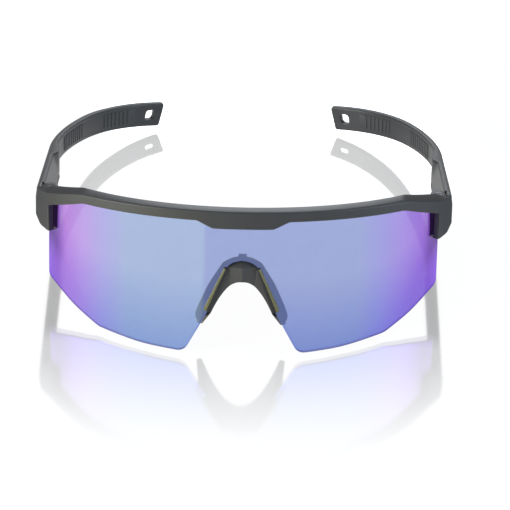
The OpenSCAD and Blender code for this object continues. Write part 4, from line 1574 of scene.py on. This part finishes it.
    def build_knuckle(self, shell: Shell) -> None:
        """The knuckle: a section with softened edges turned about the hinge's axis, with a bore.

        Args:
            shell: Where the surface goes.
        """
        f = self.form
        r, half, e, bore = f.knuckle_r, f.knuckle_h / 2, self.knuckle_e, f.shank_r
        turn = np.radians(np.linspace(0, 360, 65))[:-1]
        upper = [(r, half - e), (r - 0.3 * e, half - 0.3 * e), (r - e, half), (bore, half)]
        section = np.array([(at, -z) for at, z in upper[::-1]] + upper)
        at = section[:, :1]
        z = f.hinge_z + section[:, 1:] + 0 * turn
        rings = np.stack([f.pivot[0] + at * np.cos(turn), f.pivot[1] + at * np.sin(turn), z], -1)
        shell.grid(rings, wrap_rows=True, wrap_cols=True)

    def build(self) -> Shell:
        """The whole left temple.

        Returns:
            The temple.
        """
        shell = Shell()
        rings = self.rings()
        shell.grid(rings, wrap_cols=True)
        shell.cap(rings[0])
        self.build_tip(shell)
        self.build_knuckle(shell)
        return shell

    def build_grip(self) -> Shell:
        """The grip strip: a section carried along the recess, raised at each rib.

        Returns:
            The left grip, closed.
        """
        gap, e = self.grip_gap, self.grip_r
        s = np.linspace(self.recess[0] + gap, self.recess[1] - gap, 520)
        ribs = np.concatenate([first + self.rib_pitch * np.arange(count) for first, count in self.ribs])
        off = np.abs(s - ribs[:, None]).min(0)
        up = self.rib_up * ease(0.0, 1.0, (self.rib_w / 2 + 0.08 - off) / 0.3)
        mid, n, deep = self.middle(s), self.inner(s, self.block_t), self.sunk(s)
        floor = n - (self.recess_d - self.grip_play) * deep + 0.02 * (deep - 1)
        reach = self.grip_h / 2 - gap
        half = [
            (floor, reach - self.grip_draft), (n - e, reach), (n - 0.3 * e + 0.6 * up, reach - 0.3 * e),
            (n + up - 0.3 * e, reach - e - 0.5 * up), (n + up, reach - 2 * e - 0.9 * up),
        ]
        section = [(a, mid - z) for a, z in half] + [(n + up, mid)] + [(a, mid + z) for a, z in half[::-1]]
        return Shell().tube(np.stack([self.point(s, a, z) for a, z in section], 1))

    def dress(self, side: Side) -> None:
        """Make the temple and its grip on one side.

        Args:
            side: The wearer's side.
        """
        body = f"{side.word}_arm"
        arm = self.build().on(side).to_object(f"{side.word}_temple_arm", [NYLON.material()], 34.0)
        settle(arm, body, f"{side.word}_temple")
        grip = self.build_grip().on(side).to_object(f"{side.word}_grip_ribs", [GRIP.material()], 40.0)
        settle(grip, body, f"{side.word}_temple_grip")


def dress_hardware() -> None:
    """Give the hinge screws and inserts, whose solids stay, their turned metal."""
    for side in Side:
        for part, finish in (("hinge_screw", STEEL), ("hinge_insert", BRASS)):
            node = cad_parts[f"{side.word}_{part}"]
            for held in node.material_slots:
                held.material = finish.material()
            LOG.info("%s: %s", node.name, finish.name)


# The studio


@dataclass
class Studio:
    """Floor, light, background and camera: the camera in millimetres, the rest in metres."""

    target: Triple = (0.0, 0.0, 25.0)
    distance: float = 1229.748
    elevation: float = 34.017
    yaw: float = -0.078
    roll: float = 1.200
    shift_right: float = -3.446
    shift_down: float = -28.78
    focal_px: float = 3509.0
    frame_px: float = 510.0
    sensor: float = 36.0
    floor_half: float = 4.0
    floor_z: float = -0.0020
    floor_glow: float = 1.05
    floor_rough: float = 0.08
    floor_matt: float = 0.90
    mirror: float = 0.40
    mirror_gain: float = 1.45
    mirror_start: float = -0.06
    mirror_end: float = -0.14
    shade: float = 0.22
    warm: Triple = (1.62, 1.60, 1.08)
    aside: float = 0.4
    patch_x: float = -0.013
    patch_y: float = -0.073
    patch_slope: float = 0.306
    dark_way: Triple = (0.0, -0.766, 0.643)
    dark_front: float = 0.12
    dark_low: float = 0.12
    band: float = 1.7
    card_place: Triple = (0.012, 0.35, 0.142)
    card_half: Pair = (0.080, 0.060)
    card_glow: float = 4.4
    card_colour: Triple = (0.93, 0.98, 1.05)
    plain_light: float = 0.55
    aim_z: float = 0.02

    def camera(self) -> None:
        """Set the camera from its target, distance, angles and the offsets of the view's middle."""
        e, w, r = (math.radians(v) for v in (self.elevation, self.yaw, self.roll))
        right = Vector((math.cos(w), -math.sin(w), 0.0))
        ahead = Vector((math.sin(w) * math.cos(e), math.cos(w) * math.cos(e), -math.sin(e)))
        up = Vector((math.sin(w) * math.sin(e), math.cos(w) * math.sin(e), math.cos(e)))
        across = right * math.cos(r) + up * math.sin(r)
        above = up * math.cos(r) - right * math.sin(r)
        place = Vector(self.target) - ahead * self.distance
        place += above * self.shift_down - across * self.shift_right
        lens = bpy.data.cameras.new("photo_camera")
        lens.sensor_width = lens.sensor_height = self.sensor
        lens.lens = self.focal_px / self.frame_px * self.sensor
        lens.clip_start, lens.clip_end = 0.01, 20.0
        rig = bpy.data.objects.new("photo_camera", lens)
        turn = Matrix((across, above, -ahead)).transposed().to_4x4()
        rig.matrix_world = Matrix.Translation(place * MM) @ turn
        bpy.context.scene.collection.objects.link(rig)
        bpy.context.scene.camera = rig

    def panel(self, corners: Sequence[Triple], stuff: Material) -> Object:
        """A flat sheet that belongs to the studio.

        Args:
            corners: Its four corners in metres.
            stuff: Its material, whose name it takes.

        Returns:
            The sheet.
        """
        mesh = bpy.data.meshes.new(stuff.name)
        mesh.from_pydata(corners, [], [(0, 1, 2, 3)])
        mesh.materials.append(stuff)
        sheet = bpy.data.objects.new(stuff.name, mesh)
        bpy.context.scene.collection.objects.link(sheet)
        return sheet

    def floor(self) -> None:
        """A wide white floor with a soft shadow and, near the glasses, a reflection that fades.

        Mirrors on the glasses see it as a plain white sheet with a warm patch ahead on the left.
        """
        stuff = bpy.data.materials.new("studio_floor")
        n = Nodes.of(stuff)
        place = n.new("ShaderNodeSeparateXYZ", n.get("ShaderNodeTexCoord", "Object")).outputs
        x, y, wide = place["X"], place["Y"], n.math("ABSOLUTE", place["X"])
        glow = n.get("ShaderNodeEmission", 0, (*WHITE, 1.0), self.floor_glow)
        gloss = n.get("ShaderNodeBsdfGlossy", 0, (*WHITE, 1.0), self.floor_rough)
        matt = n.get("ShaderNodeBsdfDiffuse", 0, (*[self.floor_matt] * 3, 1.0))
        fade = n.step(y, self.mirror_end, self.mirror_start, 0.0, self.mirror)
        gains = (n.step(y, *span, 1.0, self.mirror_gain) for span in ((0.0, -0.03), (-0.068, -0.055)))
        share = n.math("MULTIPLY", fade, n.math("MINIMUM", *gains))
        shiny = n.mix(share, n.mix(self.shade, glow, matt), gloss)
        # Level with the glasses, on both sides, the sheet is dim and has no patch
        slant = n.math("DIVIDE", n.math("ADD", y, 0.05), n.math("MAXIMUM", wide, 0.05))
        front = n.math("MAXIMUM", n.step(slant, 0.12, -0.03, self.aside), n.step(wide, 0.15, 0.10))
        # The warm patch lies left of a line that runs ahead from the lens, and ahead of its ends
        line = n.math("MULTIPLY_ADD", y, self.patch_slope, self.patch_x - self.patch_slope * self.patch_y)
        left = n.step(n.math("SUBTRACT", line, x), -0.004, 0.004)
        patch = n.math("MULTIPLY", n.math("MULTIPLY", left, n.step(y, -0.035, -0.055)), front)
        sheet = n.get("ShaderNodeEmission", 0, n.ramp(patch, [(0.0, WHITE), (1.0, self.warm)]), front)
        mirrored = n.mix(n.get("ShaderNodeLightPath", "Is Glossy Ray"), matt, sheet)
        n.new("ShaderNodeOutputMaterial", Surface=n.mix(n.seen(), mirrored, shiny))
        size, z = self.floor_half, self.floor_z
        self.panel([(-size, -size, z), (size, -size, z), (size, size, z), (-size, size, z)], stuff)

    def world(self) -> None:
        """White behind the glasses, dark above the camera for mirrors, and even as plain light."""
        world = bpy.data.worlds.new("studio_world")
        bpy.context.scene.world = world
        n = Nodes.of(world)
        where = n.get("ShaderNodeTexCoord", "Generated")
        apart = n.new("ShaderNodeSeparateXYZ", where).outputs
        y, z = apart["Y"], apart["Z"]
        way = n.get("ShaderNodeVectorMath", "Value", where, self.dark_way, operation="DOT_PRODUCT")
        dark = n.step(way, 0.05, 0.6, 1.0, self.dark_front)
        base = n.math("MINIMUM", n.step(z, 0.36, 0.46, self.dark_low), dark)
        # A bright band ahead and above, which the lens shows in the floor
        band = n.math("MULTIPLY", n.step(z, 0.55, 0.66), n.step(z, 0.895, 0.845, 0.0, self.band))
        band = n.math("MULTIPLY", band, n.step(y, 0.38, -0.05))
        rays = n.new("ShaderNodeLightPath").outputs
        level = n.math("MULTIPLY", rays["Is Glossy Ray"], n.math("MAXIMUM", base, band))
        plain = n.math("MULTIPLY", rays["Is Diffuse Ray"], self.plain_light)
        strength = n.math("MAXIMUM", n.seen(), n.math("MAXIMUM", level, plain))
        n.new("ShaderNodeOutputWorld", Surface=n.get("ShaderNodeBackground", 0, (*WHITE, 1.0), strength))

    def card(self) -> None:
        """A bright card behind the glasses, seen only in mirrors, that lights the brow's top."""
        (x, y, z), (w, h) = self.card_place, self.card_half
        stuff = bpy.data.materials.new("studio_card")
        n = Nodes.of(stuff)
        glow = n.get("ShaderNodeEmission", 0, (*self.card_colour, 1.0), self.card_glow)
        n.new("ShaderNodeOutputMaterial", Surface=glow)
        corners = [(x - w, y, z - h), (x + w, y, z - h), (x + w, y, z + h), (x - w, y, z + h)]
        card = self.panel(corners, stuff)
        card.visible_camera = card.visible_diffuse = card.visible_transmission = card.visible_shadow = False

    def lamp(self, name: str, place: Triple, size: float, watts: float, colour: Triple) -> None:
        """A square soft light that looks at the glasses.

        Args:
            name: Name of the light.
            place: Its place in metres.
            size: Side of its square.
            watts: Its power.
            colour: Its colour.
        """
        light = bpy.data.lights.new(name, "AREA")
        light.energy, light.size, light.color = watts, size, colour
        rig = bpy.data.objects.new(name, light)
        at = Vector(place)
        turn = (Vector((0, 0, self.aim_z)) - at).to_track_quat("-Z", "Y").to_matrix().to_4x4()
        rig.matrix_world = Matrix.Translation(at) @ turn
        bpy.context.scene.collection.objects.link(rig)

    def build(self) -> None:
        """Set camera, floor, surround and lamps."""
        self.camera()
        self.floor()
        self.world()
        self.card()
        self.lamp("key_left", (-0.764, -0.515, 0.23), 0.42, 10.5, (0.99, 1.0, 0.97))
        self.lamp("top_back", (0.1, 0.38, 1.15), 0.9, 3.0, (0.97, 0.99, 1.0))
        self.lamp("fill_right", (0.842, -0.375, 0.23), 0.35, 5.5, (0.66, 0.84, 1.0))
        bpy.context.scene.view_settings.view_transform = "Standard"


def main() -> None:
    """Build the studio and every piece, in order."""
    logging.basicConfig(level=logging.INFO, format="%(name)s: %(message)s")
    Studio().build()
    BrowFrame().dress()
    nose = NosePiece()
    ShieldLens().dress(nose.flange_lines()[0])
    nose.dress()
    temple = Temple()
    for side in Side:
        temple.dress(side)
    dress_hardware()


if __name__ == "__main__":
    main()
